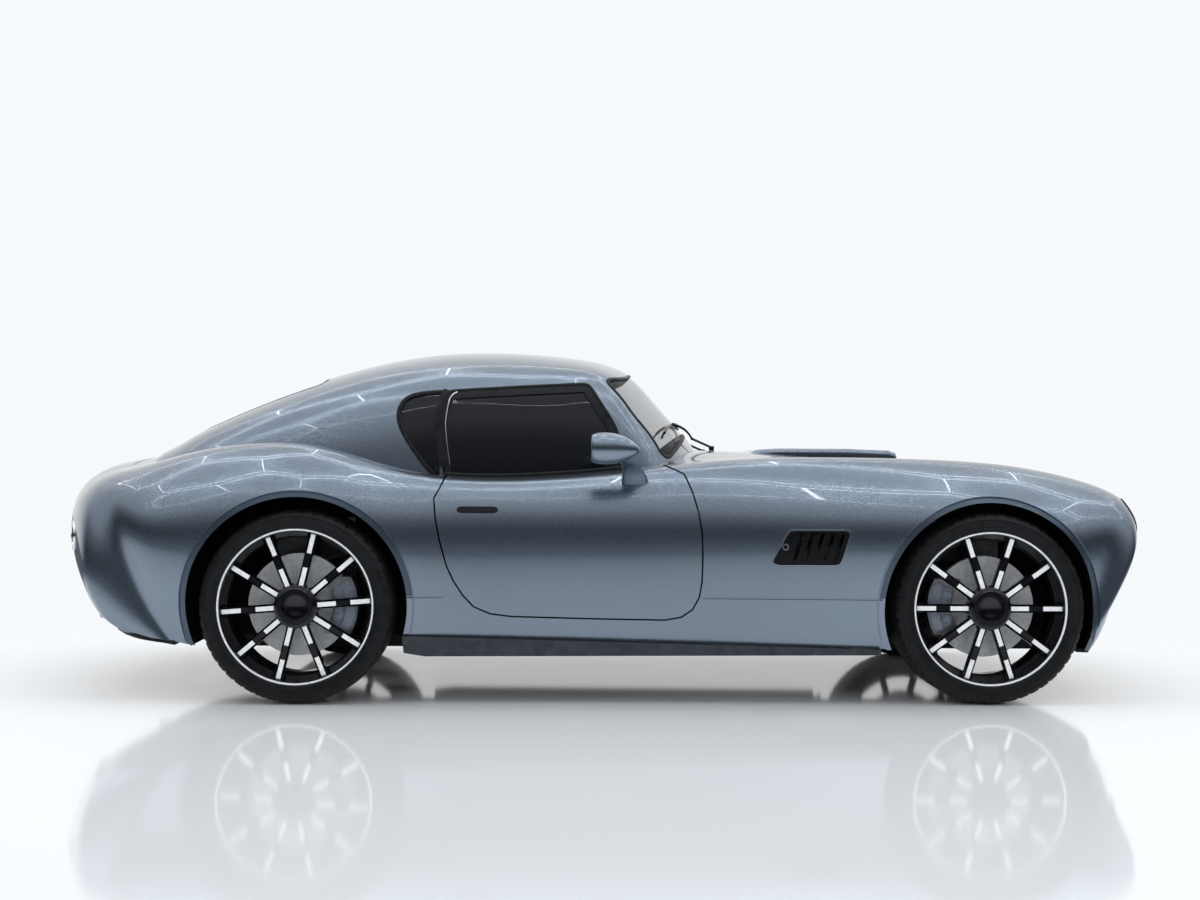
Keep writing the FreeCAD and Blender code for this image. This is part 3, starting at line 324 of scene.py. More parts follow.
liftShare = (0.0, 0.22, 0.53, 0.82, 1, 1, 1, 1, 1)
tailRings = [
    # centre x, corner x, foot x, half width, z, rise to the centre
    (-1600, -1575, -1660, 800, 200, 0),
    (-1930, -1790, -1650, 838, 268, 0),
    (-2045, -1872, -1632, 866, 385, 0),
    (-2106, -1902, -1612, 880, 540, 8),
    (-2112, -1858, -1592, 885, 690, 64),
    (-1970, -1790, -1570, 885, 766, 112),
]
noseRings = [
    (2035, 1915, 1730, 880, 788, -18),
    (2106, 1988, 1758, 885, 700, -10),
    (2112, 1970, 1780, 880, 604, 0),
    (2068, 1904, 1800, 865, 512, 0),
    (2046, 1886, 1820, 845, 320, 0),
    (1965, 1838, 1838, 820, 200, 0),
]
cabinRings = [
    # foot, belt, glass, cant, brow, crown and centre: their x, y but the last, z but the first
    ((-1900, -1880, -1880, -1890, -1895, -1900, -1900),
     (470, 420, 340, 270, 180, 90), (700, 700, 700, 700, 700, 700)),
    ((-1780, -1800, -1810, -1820, -1825, -1830, -1830),
     (530, 490, 400, 310, 210, 100), (790, 842, 868, 880, 886, 888)),
    ((-1685, -1695, -1700, -1704, -1708, -1710, -1710),
     (570, 532, 460, 370, 255, 125), (820, 884, 922, 940, 947, 949)),
    ((-1590,) * 7, (610, 575, 520, 430, 300, 150), (850, 930, 984, 1012, 1024, 1026)),
    ((-1310,) * 7, (670, 640, 600, 520, 370, 180), (880, 990, 1075, 1128, 1150, 1153)),
    ((-1027,) * 7, (705, 680, 645, 570, 410, 200), (890, 1030, 1145, 1218, 1249, 1255)),
    ((-743,) * 7, (720, 700, 668, 596, 440, 215), (870, 1050, 1190, 1273, 1313, 1320)),
    ((-480,) * 7, (722, 706, 675, 606, 455, 225), (860, 1055, 1205, 1292, 1332, 1340)),
    ((-230, -230, -230, -230, -220, -200, -190),
     (720, 706, 675, 606, 460, 230), (855, 1050, 1200, 1283, 1320, 1327)),
    ((-20, -20, -16, -5, 30, 80, 104),
     (716, 702, 668, 608, 486, 240), (855, 1045, 1198, 1247, 1270, 1277)),
    ((130, 120, 112, 112, 165, 215, 238),
     (714, 700, 668, 630, 506, 250), (845, 965, 1047, 1095, 1122, 1130)),
    ((290, 262, 248, 242, 305, 355, 378),
     (700, 690, 668, 644, 514, 255), (785, 850, 885, 935, 975, 984)),
    ((420, 430, 450, 480, 520, 550, 560),
     (640, 560, 470, 380, 260, 130), (700, 700, 700, 700, 700, 700)),
]
baseZ = 200.0
cabinFoot = 700.0


def mixed(a, b, t):
    return a + (b - a) * t


def sectionPoints(row):
    x, foot, sill, low, waist, sy, sz, cy, cz, iy, iz, vy, vz, mz = row
    pts = [(sill, baseZ), (low, 330), (waist, 520), (sy, sz), (cy, cz)]
    pts += [(iy, iz), (vy, vz), (vy * 0.45, mixed(vz, mz, 0.75)), (0, mz)]
    return [(mixed(foot, x, l), y, z) for l, (y, z) in zip(leanShare, pts)]


def ringPoints(row):
    xc, xk, foot, w, z, rise = row
    out = []
    for r, lean, lift in zip(reachShare, leanShare, liftShare):
        x = xc - (xc - xk) * r ** 2.5
        out.append((mixed(foot, x, lean), w * r, baseZ + (z - baseZ) * lift + rise * (1 - r * r)))
    return out


def cabinHalf(ring):
    xs, ys, zs = ring
    return list(zip(xs, (*ys, 0), (cabinFoot, *zs)))


# the half net mirrored, its poles drawn out towards the table's points
def skinPoles(halves):
    net = np.array(halves, float)
    other = net[:, -2::-1].copy()
    other[:, :, 1] *= -1
    net = np.concatenate([net, other], axis=1)
    for turn in range(2):
        inner = net[1:-1] + (2 * net[1:-1] - net[:-2] - net[2:]) * 0.16
        net = np.concatenate([net[:1], inner, net[-1:]]).transpose(1, 0, 2)
    return net / 1000.0


# a cubic spline's shares of its poles at t, and their slopes
def splineBasis(count, t):
    knots = np.array([0] * 3 + list(range(count - 2)) + [count - 3] * 3, float)
    t = np.clip(t, 0, count - 3 - 1e-9)[:, None]
    n = (np.arange(count + 3) == t.astype(int) + 3).astype(float)
    for degree in (1, 2, 3):
        span = knots[degree:] - knots[:-degree]
        share = n / np.where(span > 0, span, np.inf)
        slope = degree * (share[:, :-1] - share[:, 1:])
        n = (t - knots[:-degree - 1]) * share[:, :-1] + (knots[degree + 1:] - t) * share[:, 1:]
    return n, slope


class Skin:
    def __init__(self, halves):
        self.poles = skinPoles(halves)
        nu, nv = self.poles.shape[:2]
        self.ends = (nu - 3, nv - 3)
        us = np.linspace(0, nu - 3, nu * 12)
        vs = np.linspace(0, nv - 3, nv * 14)
        bu, bv = splineBasis(nu, us)[0], splineBasis(nv, vs)[0]
        self.grid = np.einsum("ai,bj,ijk->abk", bu, bv, self.poles).reshape(-1, 3)
        self.uv = np.array([(u, v) for u in us for v in vs])
        self.tree = kdtree.KDTree(len(self.grid))
        for i, p in enumerate(self.grid):
            self.tree.insert(p, i)
        self.tree.balance()

    # points, and how they move with u and with v
    def at(self, uv):
        nu, nv = self.poles.shape[:2]
        bv, dv = splineBasis(nv, uv[:, 1])
        rows, slopes = (np.einsum("ni,ijk->njk", part, self.poles) for part in splineBasis(nu, uv[:, 0]))
        return [np.einsum("nj,njk->nk", part, row) for part, row in ((bv, rows), (bv, slopes), (dv, rows))]

    # uv moved by the step that, times the rows a b and c d, gives p and q
    def moved(self, uv, most, a, b, c, d, p, q):
        det = a * d - b * c
        det = np.where(np.abs(det) < 1e-12, 1e-12, det)
        step = np.stack([(p * d - b * q) / det, (a * q - c * p) / det], 1)
        return np.clip(uv + np.clip(step, -most, most), 0, self.ends)

    # normals at the skin's nearest points, and how far off those are
    def normals(self, points):
        uv = np.array([self.uv[self.tree.find(p)[1]] for p in points])
        for turn in range(3):
            s, su, sv = self.at(uv)
            gap, both = points - s, (su * sv).sum(1)
            near = (gap * su).sum(1), (gap * sv).sum(1)
            uv = self.moved(uv, 0.5, (su * su).sum(1), both, both, (sv * sv).sum(1), *near)
        s, su, sv = self.at(uv)
        n = -np.cross(su, sv)
        n /= np.maximum(np.linalg.norm(n, axis=1, keepdims=True), 1e-12)
        return n, np.linalg.norm(points - s, axis=1)


tail, nose = ([ringPoints(row) for row in rings] for rings in (tailRings, noseRings))
bodySkin = Skin(tail + [sectionPoints(row) for row in bodySections] + nose)
cabinSkin = Skin([cabinHalf(ring) for ring in cabinRings])
panelLook = {
    "reach": 0.035,  # how far from the skin a vertex may lie
    "facing": 0.9,
    "body": ("front_body", "rear_body", "sills", "bonnet", "boot_lid", "door_left", "door_right",
             "headlights", "tail_lights", "side_vents"),
    "cabin": ("roof", "windscreen", "rear_window", "quarter_windows", "door_glass", "door_frame"),
}


def smoothPanel(mesh, skin):
    true, gap = skin.normals(np.array([v.co for v in mesh.vertices]))
    corner = [loop.vertex_index for loop in mesh.loops]
    now = np.array([n.vector for n in mesh.corner_normals])
    want = true[corner]
    along = (now * want).sum(1)
    fits = (np.abs(along) > panelLook["facing"]) & (gap[corner] < panelLook["reach"])
    now[fits] = want[fits] * np.sign(along[fits])[:, None]
    mesh.normals_split_custom_set(now.tolist())


for name, obj in nodes.items():
    for word, skin in (("body", bodySkin), ("cabin", cabinSkin)):
        if name.startswith(panelLook[word]):
            smoothPanel(obj.data, skin)
print("panels smoothed")


# shared ways of making a detail piece
def mountPiece(name, mesh, slotName, body="body", finish=None):
    mesh.shade_smooth()
    mesh.materials.append(finish or finishes[slotName])
    piece = addObject(name, mesh)
    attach(piece, body)
    return piece


def addPiece(name, shape, slotName, body="body", finish=None, crease=35):
    mesh = bpy.data.meshes.new(name)
    mesh.from_pydata([tuple(v) for v in shape[0]], [], shape[1])
    form = bmesh.new()
    form.from_mesh(mesh)
    bmesh.ops.recalc_face_normals(form, faces=form.faces)
    form.to_mesh(mesh)
    form.free()
    piece = mountPiece(name, mesh, slotName, body, finish)
    mesh.set_sharp_from_angle(angle=math.radians(crease))
    return piece


def circle(count):
    turns = [2 * math.pi * k / count for k in range(count)]
    return [(math.cos(a), math.sin(a)) for a in turns]


# faces over rings of points that follow each other, with caps on the rings named
def ringed(points, size, caps=(0, -1), closed=False):
    rings = len(points) // size
    faces = []
    for i in range(rings if closed else rings - 1):
        for j in range(size):
            near, far, after = i * size, (i + 1) % rings * size, (j + 1) % size
            faces.append((near + j, near + after, far + after, far + j))
    for cap in caps:
        first = cap % rings * size
        faces.append(tuple(range(first, first + size)))
    return list(points), faces


# a closed profile of (radius, out) turned about a wheel's axle
def turned(profile, count):
    points = [(r * c, out, r * s) for c, s in circle(count) for r, out in profile]
    return ringed(points, len(profile), (), True)


# rings of (out, radius) about a line along X
def aroundX(centre, rings, count, caps=(0, -1)):
    x, y, z = centre
    points = [(x + out, y + r * c, z + r * s) for out, r in rings for c, s in circle(count)]
    return ringed(points, count, caps)


# eight corners, the four below first
def boxOf(corners):
    sheets = [(0, 1, 2, 3), (4, 5, 6, 7), (0, 1, 5, 4), (1, 2, 6, 5), (2, 3, 7, 6), (3, 0, 4, 7)]
    return list(corners), sheets


def joined(shapes):
    verts, faces = [], []
    for points, sheets in shapes:
        first = len(verts)
        verts += points
        faces += [tuple(first + i for i in sheet) for sheet in sheets]
    return verts, faces


# lines laid on the skins
sideAim = np.array([(1, 0, 0), (0, 0, 1)], float)
topAim = np.array([(1, 0, 0), (0, 1, 0)], float)
noseAim = np.array([(0, 1, 0), (0, 0, 1)], float)


# the skin's points whose coordinates along the two aims are the targets
def landOn(skin, targets, aim, keep):
    targets = np.array(targets, float)
    near = np.flatnonzero(keep(skin.grid))
    flat = skin.grid[near] @ aim.T
    uv = np.array([skin.uv[near[np.argmin(((flat - t) ** 2).sum(1))]] for t in targets])
    for turn in range(12):
        s, su, sv = (part @ aim.T for part in skin.at(uv))
        uv = skin.moved(uv, 0.3, su[:, 0], sv[:, 0], su[:, 1], sv[:, 1], *(targets - s).T)
    s = skin.at(uv)[0]
    return s, skin.normals(s)[0]


def onFlank(line, way):
    return landOn(bodySkin, line, sideAim, lambda g: g[:, 1] * way > 0.72)


def onCabinSide(line, way):
    return landOn(cabinSkin, line, sideAim, lambda g: g[:, 1] * way > 0.25)


# the outline in even short steps, its corners slightly rounded
def dense(points, step, closed):
    pts = np.array(points + points[:1] if closed else points, float)
    out = []
    for a, b in zip(pts, pts[1:]):
        n = max(1, round(np.linalg.norm(b - a) / step))
        out += [a + (b - a) * k / n for k in range(n)]
    line = np.array(out if closed else out + [pts[-1]])
    for turn in range(2):
        if closed:
            line = line * 0.5 + (np.roll(line, 1, 0) + np.roll(line, -1, 0)) * 0.25
        else:
            line[1:-1] = line[1:-1] * 0.5 + (line[2:] + line[:-2]) * 0.25
    return line


# a strip with this section (across, out) laid along points
def bead(name, points, normals, section, slotName, body="body", closed=True, finish=None):
    if closed:
        along = np.roll(points, -1, 0) - np.roll(points, 1, 0)
    else:
        along = np.gradient(points, axis=0)
    side = np.cross(along, normals)
    side /= np.linalg.norm(side, axis=1, keepdims=True)
    verts = [p + t * a + n * b for p, n, t in zip(points, normals, side) for a, b in section]
    shape = ringed(verts, len(section), () if closed else (0, -1), closed)
    return addPiece(name, shape, slotName, body, finish, 40)


# a section from the half of it at one side, foot first
def bothSides(half):
    return [(-w, out) for w, out in half] + half[::-1]


def sealSection(width, height, sink=0.004):
    w = width / 2
    return bothSides([(w, -sink), (w, height * 0.35), (w * 0.6, height)])


# wheels
# end, centre x, outer face y
axles = (("front", 1.44, 0.915), ("rear", -1.13, 0.955))
wheels = [(end, side, x, way * face, f"wheel_{end}_{side}") for end, x, face in axles for way, side in sides]
axleZ = 0.358
tyreWidth = {"front": 0.255, "rear": 0.305}
spokeTurn = {"front": 0.0, "rear": math.radians(4.6)}


# a shape about the axle, its outs measured from the wheel's outer face
def placeWheel(name, shape, x, face, slotName, body, crease=35, finish=None):
    way = 1 if face > 0 else -1
    world = [(x + vx, face + way * out, axleZ + vz) for vx, out, vz in shape[0]]
    return addPiece(name, (world, shape[1]), slotName, body, finish, crease)


tyreLook = {
    "segments": 300,
    "outerWall": [
        (0.2875, -0.012), (0.2885, -0.006), (0.292, -0.0035), (0.2925, -0.002), (0.2955, -0.002),
        (0.296, -0.0035), (0.303, -0.0012), (0.3036, 0.0), (0.3052, 0.0), (0.3058, -0.0012), (0.314, -0.0004),
        (0.3146, -0.0002), (0.3216, -0.0004), (0.3222, -0.0012), (0.331, -0.0024), (0.3316, -0.0012),
        (0.3334, -0.0014), (0.334, -0.0036), (0.34, -0.0072), (0.3455, -0.0125), (0.35, -0.019),
        (0.353, -0.026), (0.3548, -0.034), (0.3555, -0.0405)
    ],
    "hatch": range(10, 13),  # points of the wall that carry it, as for the sipes
    "hatchDepth": 0.0009,
    "sipes": range(19, 24),
    "sipeDepth": 0.0042, "sipeEvery": 6,
    "tread": 0.3578,
    "shoulder": 0.042,
    "crown": 0.0022,
    "grooves": 4, "grooveWidth": 0.009, "grooveDepth": 0.007,
}


def tyreProfile(width):
    look = tyreLook
    wide = width - 2 * look["shoulder"]
    half = look["grooveWidth"] / 2
    floor = look["tread"] - look["grooveDepth"]
    tread = []
    for k in range(look["grooves"]):
        mid = -look["shoulder"] - wide * (k + 0.5) / look["grooves"]
        top = look["tread"] - look["crown"] * (abs(mid + width / 2) / (width / 2)) ** 2
        groove = bothSides([(half * 1.25, top), (half, floor)])[::-1]
        tread += [(r, mid + across) for across, r in groove]
    return look["outerWall"] + tread + [(r, -width - out) for r, out in reversed(look["outerWall"])]


def makeTyre(end, side, x, face, body):
    look = tyreLook
    profile = tyreProfile(tyreWidth[end])
    verts = []
    for k, (c, s) in enumerate(circle(look["segments"])):
        for j, (r, out) in enumerate(profile):
            edge = min(j, len(profile) - 1 - j)
            if k % look["sipeEvery"] == 0 and edge in look["sipes"]:
                r -= look["sipeDepth"]
            if k % 2 and edge in look["hatch"]:
                out -= look["hatchDepth"] if edge == j else -look["hatchDepth"]
            verts.append((r * c, out, r * s))
    shape = ringed(verts, len(profile), (), True)
    tyre = placeWheel(f"tyre_{end}_{side}_carcass", shape, x, face, "tyre_rubber", body, 28)
    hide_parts(f"tyre_{end}_{side}")


rimLook = {
    "barrelOuter": [(0.2863, -0.013), (0.2863, -0.024), (0.2795, -0.03)],
    # the inner bead, measured from the inner edge
    "barrelBack": [
        (0.2795, 0.03), (0.2863, 0.022), (0.2863, 0.013), (0.278, 0.014), (0.268, 0.03), (0.258, 0.06)
    ],
    "barrelInner": [(0.252, -0.1), (0.2535, -0.075), (0.26, -0.052), (0.2705, -0.034), (0.2735, -0.022),
                    (0.2765, -0.0165)],
    "spokes": 10,
    # radius from and to, width on top and at the foot, depth of the face, height, bevel
    "darkBars": [(0.07, 0.274, 0.019, 0.031, -0.0312, 0.028, 0.004),
                 (0.252, 0.2745, 0.034, 0.046, -0.038, 0.02, 0.004),  # widens into the barrel
                 (0.066, 0.084, 0.032, 0.04, -0.034, 0.03, 0.004)],  # and into the hub
    "brightBars": [(0.079, 0.147, 0.015, 0.017, -0.03, 0.0015, 0.0006),
                   (0.201, 0.279, 0.015, 0.017, -0.03, 0.0015, 0.0006)],
    "hub": [(0.0004, -0.118), (0.0004, -0.024), (0.026, -0.0235), (0.03, -0.0215), (0.044, -0.021),
            (0.0465, -0.0135), (0.049, -0.0085), (0.066, -0.0085), (0.069, -0.011), (0.0705, -0.02),
            (0.0795, -0.026), (0.08, -0.07), (0.068, -0.118)],
    "lugs": 12, "lugTurn": 0.13, "lugRadii": (0.0515, 0.0635),
    "lugLayers": ((-0.012, 0.0046), (-0.0065, 0.0036)),  # out, half width
    "valve": ((0.263, -0.048), (0.255, -0.026)),
    "flange": [(0.2795, -0.0165), (0.28, -0.0085), (0.2812, -0.0068), (0.285, -0.0068), (0.2866, -0.009),
               (0.2868, -0.0165)],
}


def alongSpoke(turn, r, across, out):
    c, s = math.cos(turn), math.sin(turn)
    return (r * c - across * s, out, r * s + across * c)


# a bar with bevelled flanks
def spokeBar(turn, r0, r1, top, foot, face, height, bevel):
    a, b, deep, low = top / 2, foot / 2, face - height, face - bevel * 2
    section = bothSides([(b, deep), (b, low), (a, face)])
    return ringed([alongSpoke(turn, r, across, out) for r in (r0, r1) for across, out in section], 6)


def makeLug(k):
    turn = k * 2 * math.pi / rimLook["lugs"] + rimLook["lugTurn"]
    near, far = rimLook["lugRadii"]
    corners = []
    for out, half in rimLook["lugLayers"]:
        for r, across in ((near, -half), (far, -half), (far, half), (near, half)):
            corners.append(alongSpoke(turn, r, across, out))
    return boxOf(corners)


def makeRim(end, side, x, face, body):
    back = [(r, out - tyreWidth[end]) for r, out in rimLook["barrelBack"]]
    dark = [turned(rimLook["barrelOuter"] + back + rimLook["barrelInner"], 180)]
    bright = []
    pitch = 2 * math.pi / rimLook["spokes"]
    for k in range(rimLook["spokes"]):
        turn = spokeTurn[end] + k * pitch
        dark += [spokeBar(turn, *bar) for bar in rimLook["darkBars"]]
        bright += [spokeBar(turn, *bar) for bar in rimLook["brightBars"]]
    dark.append(turned(rimLook["hub"], 96))
    dark += [makeLug(k) for k in range(rimLook["lugs"])]
    turn = spokeTurn[end] - math.pi / 2 + pitch / 2
    valve = []
    for r, out in rimLook["valve"]:
        valve += [alongSpoke(turn, r + 0.002 * c, 0.0034 * s, out + 0.002 * c) for c, s in circle(8)]
    bright.append(ringed(valve, 8))
    bright.append(turned(rimLook["flange"], 240))
    form = placeWheel(f"rim_{end}_{side}_form", joined(dark), x, face, "rim_black", body)
    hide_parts(f"rim_{end}_{side}")
    placeWheel(f"rim_{end}_{side}_machined", joined(bright), x, face, "exhaust_steel", body, 30, machinedFace)


machinedFace = newFinish("machined_face", (0.86, 0.875, 0.89), (0.94, 0.95, 0.96), 60, 2, (0.25, 0.36), 0.1)
for wheel in wheels:
    makeTyre(*wheel)
    makeRim(*wheel)
print("wheels detailed")

# window seals: widths in metres, outlines in millimetres along x and z
sideSeal = {
    # width, height, outline
    "doorOpening": (0.012, 0.003,
                    [(110, 872), (40, 1045), (-57, 1197), (-275, 1185), (-527, 1169), (-598, 1163),
                     (-624, 1092), (-631, 1042), (-622, 967), (-611, 880)]),
    "quarter": (0.016, 0.003,
                [(-626, 872), (-640, 838), (-673, 872), (-718, 930), (-757, 990), (-781, 1040), (-784, 1090),
                 (-764, 1128), (-734, 1147), (-690, 1156), (-611, 1162)]),
    "divider": (0.019, 0.0025,
                [(-600, 1169), (-617, 1150), (-630, 1094), (-637, 1042), (-628, 967), (-616, 872)]),
}
trimLine = [(-560, 1160), (-586, 1147), (-597, 1092), (-603, 1042), (-596, 967), (-582, 880)]
beltSeal = {
    "x": (0.085, -0.605),
    "section": bothSides([(0.009, -0.006), (0.009, 0.004), (0.005, 0.007)]),
    "out": 0.006,
    "up": 0.002,
}
for way, side in sides:
    door = "door_" + side
    for label, (width, height, outline) in sideSeal.items():
        s, n = onCabinSide(dense(outline, 14.0, False) / 1000.0, way)
        bead(f"seal_{label}_{side}", s, n, sealSection(width, height), "black_trim", closed=False)
    s, n = onCabinSide(dense(trimLine, 14.0, False) / 1000.0, way)
    section = sealSection(0.005, 0.0028)
    bead(f"trim_divider_{side}", s - n * 0.001, n, section, "exhaust_steel", door, False)
    # belt seal along the top of the door, where the glass meets the body
    xs = np.linspace(*beltSeal["x"], 56)
    z = np.full(len(xs), 0.88)
    for turn in range(5):
        s, n = onCabinSide(np.stack([xs, z], 1), way)
        top = landOn(bodySkin, s[:, :2], topAim, lambda g: (g[:, 2] > 0.75) & (g[:, 1] * way > 0.3))[0]
        z = top[:, 2]
    belt = s + n * beltSeal["out"]
    belt[:, 2] = z + beltSeal["up"]
    bead(f"seal_belt_{side}", belt, n, beltSeal["section"], "black_trim", door, False)
print("side seals laid")

screenSeal = {
    # top and foot x z in metres, outline down the slope and across in millimetres, height
    "windscreen": ((0.098, 1.263), (0.378, 0.984),
                   [(26, 300), (8, 450), (-24, 562), (-8, 586), (150, 612), (330, 622), (362, 596)], 0.0022),
    "rear_window": ((-1.08, 1.24), (-1.64, 1.0), [(30, 350), (60, 400), (500, 350), (545, 300)], 0.0006),
}


# a window's outline, given down the slope and across, on the cabin skin
def slopeLine(top, foot, outline):
    down = np.array([foot[0] - top[0], 0, foot[1] - top[1]])
    down /= np.linalg.norm(down)
    start = np.array([top[0], 0, top[1]])
    line = dense(outline + [(s, -y) for s, y in reversed(outline)], 16.0, True) / 1000.0
    line[:, 0] += start @ down
    up = np.cross((0, 1, 0), down)
    up *= np.sign(up[2])
    aim = np.array([down, (0, 1, 0)])
    return landOn(cabinSkin, line, aim, lambda g: (g @ up > start @ up - 0.26) & (g[:, 2] > 0.75))


for label, (top, foot, outline, height) in screenSeal.items():
    s, n = slopeLine(top, foot, outline)
    bead("seal_" + label, s, n, sealSection(0.014, height, 0.007), "black_trim")
print("window seals laid")

wiperLook = {
    # the blade's two ends x y, the arm's elbow x y z
    "arms": [((0.232, -0.56), (0.322, -0.12), (0.372, -0.27, 0.99)),
             ((0.256, 0.5), (0.334, 0.02), (0.345, 0.21, 0.99))],
    "rubber": bothSides([(0.002, -0.0055), (0.003, 0.004)]),
    "blade": bothSides([(0.006, -0.003), (0.004, 0.004)]),
    "arm": bothSides([(0.006, -0.004), (0.005, 0.004)]),
    "lift": (0.001, 0.007, 0.012),  # rubber, blade and arm above the screen
}
for k, (a, b, elbow) in enumerate(wiperLook["arms"]):
    line = np.linspace(a, b, 24)
    s, n = landOn(cabinSkin, line, topAim, lambda g: (g[:, 2] > 0.9) & (g[:, 0] > 0.05))
    low, mid, high = wiperLook["lift"]
    bead(f"wiper_rubber_{k}", s + n * low, n, wiperLook["rubber"], "black_trim", closed=False)
    s, n = s[2:-2], n[2:-2]
    bead(f"wiper_blade_{k}", s + n * mid, n, wiperLook["blade"], "handle_black", closed=False)
    out = n[len(s) // 2]
    foot = s[len(s) // 2] + out * high
    steps = np.linspace(0, 1, 12)
    arm = np.array([foot + (np.array(elbow) - foot) * t + out * high * math.sin(math.pi * t) for t in steps])
    bead(f"wiper_arm_{k}", arm, np.repeat(out[None], 12, 0), wiperLook["arm"], "handle_black", closed=False)

caliperLook = {
    "inner": 0.131, "outer": 0.2165,
    "front": -0.0885, "back": -0.098,
    "spread": 27,  # degrees each way
    "steps": 18,
    "rounding": 0.01,
    "ridge": [(0.168, 0.002), (0.172, -0.001), (0.178, 0.002)],
    "bosses": (-17, 0, 17),
    "bossRadius": 0.152,
    # in front of the face, radius
    "bossRings": [(0.003, 0.0165), (0.0045, 0.0145), (0.0045, 0.008), (0.002, 0.007), (0.002, 0.0005)],
}


def caliperShape(ahead):
    look = caliperLook
    front, back, inner, outer = (look[word] for word in ("front", "back", "inner", "outer"))
    shell = []
    for k in range(look["steps"] + 1):
        share = 2 * k / look["steps"] - 1
        a = math.radians(look["spread"] * share)
        edge = look["rounding"] * abs(share) ** 6
        section = [(inner + edge, back), (inner + edge, front - 0.004), (inner + 0.006 + edge, front)]
        section += [(r, front + out) for r, out in look["ridge"]]
        section += [(outer - 0.008 - edge, front), (outer - edge, front - 0.005), (outer - edge, back)]
        shell += [(r * math.cos(a) * ahead, out, r * math.sin(a)) for r, out in section]
    shapes = [ringed(shell, 9)]
    for degrees in look["bosses"]:
        a = math.radians(degrees)
        x, z = look["bossRadius"] * math.cos(a) * ahead, look["bossRadius"] * math.sin(a)
        rings = [(back, look["bossRings"][0][1])] + [(front + out, r) for out, r in look["bossRings"]]
        shapes.append(ringed([(x + r * c, out, z + r * s) for out, r in rings for c, s in circle(20)], 20))
    return joined(shapes)


caliperPaint = newFinish("caliper_paint", (0.16, 0.19, 0.235), (0.22, 0.25, 0.3), 60, 4, (0.28, 0.4), 0.3)
for end, side, x, face, body in wheels:
    shape = caliperShape(1 if end == "rear" else -1)
    carrier = "knuckle_" + side if end == "front" else "body"
    placeWheel(f"caliper_{end}_{side}", shape, x, face, "cast_alloy", carrier, 30, caliperPaint)
print("calipers and wipers placed")

# lamps
lampLook = {
    # y, z, radius
    "head": (0.655, 0.676, 0.0875),
    "indicator": (0.66, 0.423, 0.027),
    "tail": (0.6, 0.6, 0.0495),
    # width, height and sink of the rings
    "rim": (0.009, 0.0035),
    "bezel": (0.006, 0.0012, 0.008),
    "indicatorRim": (0.008, 0.006),
    "lens": [0.93, 0.7, 0.45, 0.2, 0.04],
    # share of the radius, depth
    "bowl": [(0.986, 0.002), (0.95, 0.01), (0.9, 0.02), (0.78, 0.04), (0.62, 0.058), (0.44, 0.068),
             (0.27, 0.072)],
    "flute": 0.0008,
    "collar": [(-0.004, 0.027), (0.016, 0.027)],
    "dome": [1.0, 0.98, 0.9, 0.75, 0.55, 0.3, 0.05],
    "domeHeight": 0.012,
}
tailRing = {
    # share of the radius in hundredths: width and height, slot
    106: ((0.009, 0.005), "exhaust_steel"),
    62: ((0.005, 0.0022), "handle_black"),
}


# rings of points on the nose or the tail, with their normals
def discOnSkin(y, z, radius, shares, around, front=True):
    radii = [radius * share for share in shares]
    targets = [(y + r * c, z + r * s) for r in radii for c, s in circle(around)]
    return landOn(bodySkin, targets, noseAim, lambda g: g[:, 0] * (1 if front else -1) > 1.75)


def lampRing(name, disc, section, slotName, finish=None):
    rim, up = discOnSkin(*disc)
    bead(name, rim, up, sealSection(*section), slotName, finish=finish)


chrome = newFinish("polished_chrome", (0.78, 0.79, 0.8), (0.88, 0.885, 0.89), 300, 2, (0.04, 0.09), 1)
lampClear = newFinish("lamp_clear", (0.75, 0.8, 0.84), (0.85, 0.89, 0.92), 90, 3, (0.02, 0.05))
setShader(lampClear, {"Alpha": 0.12})
indicatorLens = newFinish("indicator_lens", (0.55, 0.56, 0.58), (0.72, 0.73, 0.75), 220, 2, (0.06, 0.12),
                          0, (420, 0.0004))


def makeHeadlight(way, side):
    y, z, radius = lampLook["head"]
    y *= way
    n = 64
    lampRing(f"lamp_rim_{side}", (y, z, radius, [1.0], n), lampLook["rim"], "black_trim")
    lampRing(f"lamp_bezel_{side}", (y, z, radius, [0.945], n), lampLook["bezel"], "exhaust_steel", chrome)
    lens = discOnSkin(y, z, radius, lampLook["lens"], n)[0]
    lens = addPiece(f"lamp_lens_{side}", ringed(lens, n, (-1,)), "lamp_glass", finish=lampClear)
    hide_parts("headlights")
    shares, depths = zip(*lampLook["bowl"])
    bowl = discOnSkin(y, z, radius, shares, n)[0]
    bowl[:, 0] -= np.repeat(depths, n)
    # the flutes of the reflector
    bowl[:, 0] -= np.tile(np.cos(np.arange(n) * math.pi / 2) * lampLook["flute"], len(depths))
    addPiece(f"lamp_reflector_{side}", ringed(bowl, n, (-1,)), "exhaust_steel", finish=chrome)
    back = bowl[-n:].mean(0)
    turns = [math.pi / 16 * i for i in range(9)]
    eye = [(0.016 + 0.02 * math.sin(a), 0.024 * math.cos(a) + 0.0004) for a in turns]
    addPiece(f"lamp_eye_{side}", aroundX(back, eye, 24), "lamp_glass", finish=lampClear)
    addPiece(f"lamp_collar_{side}", aroundX(back, lampLook["collar"], 24, (0,)), "black_trim")


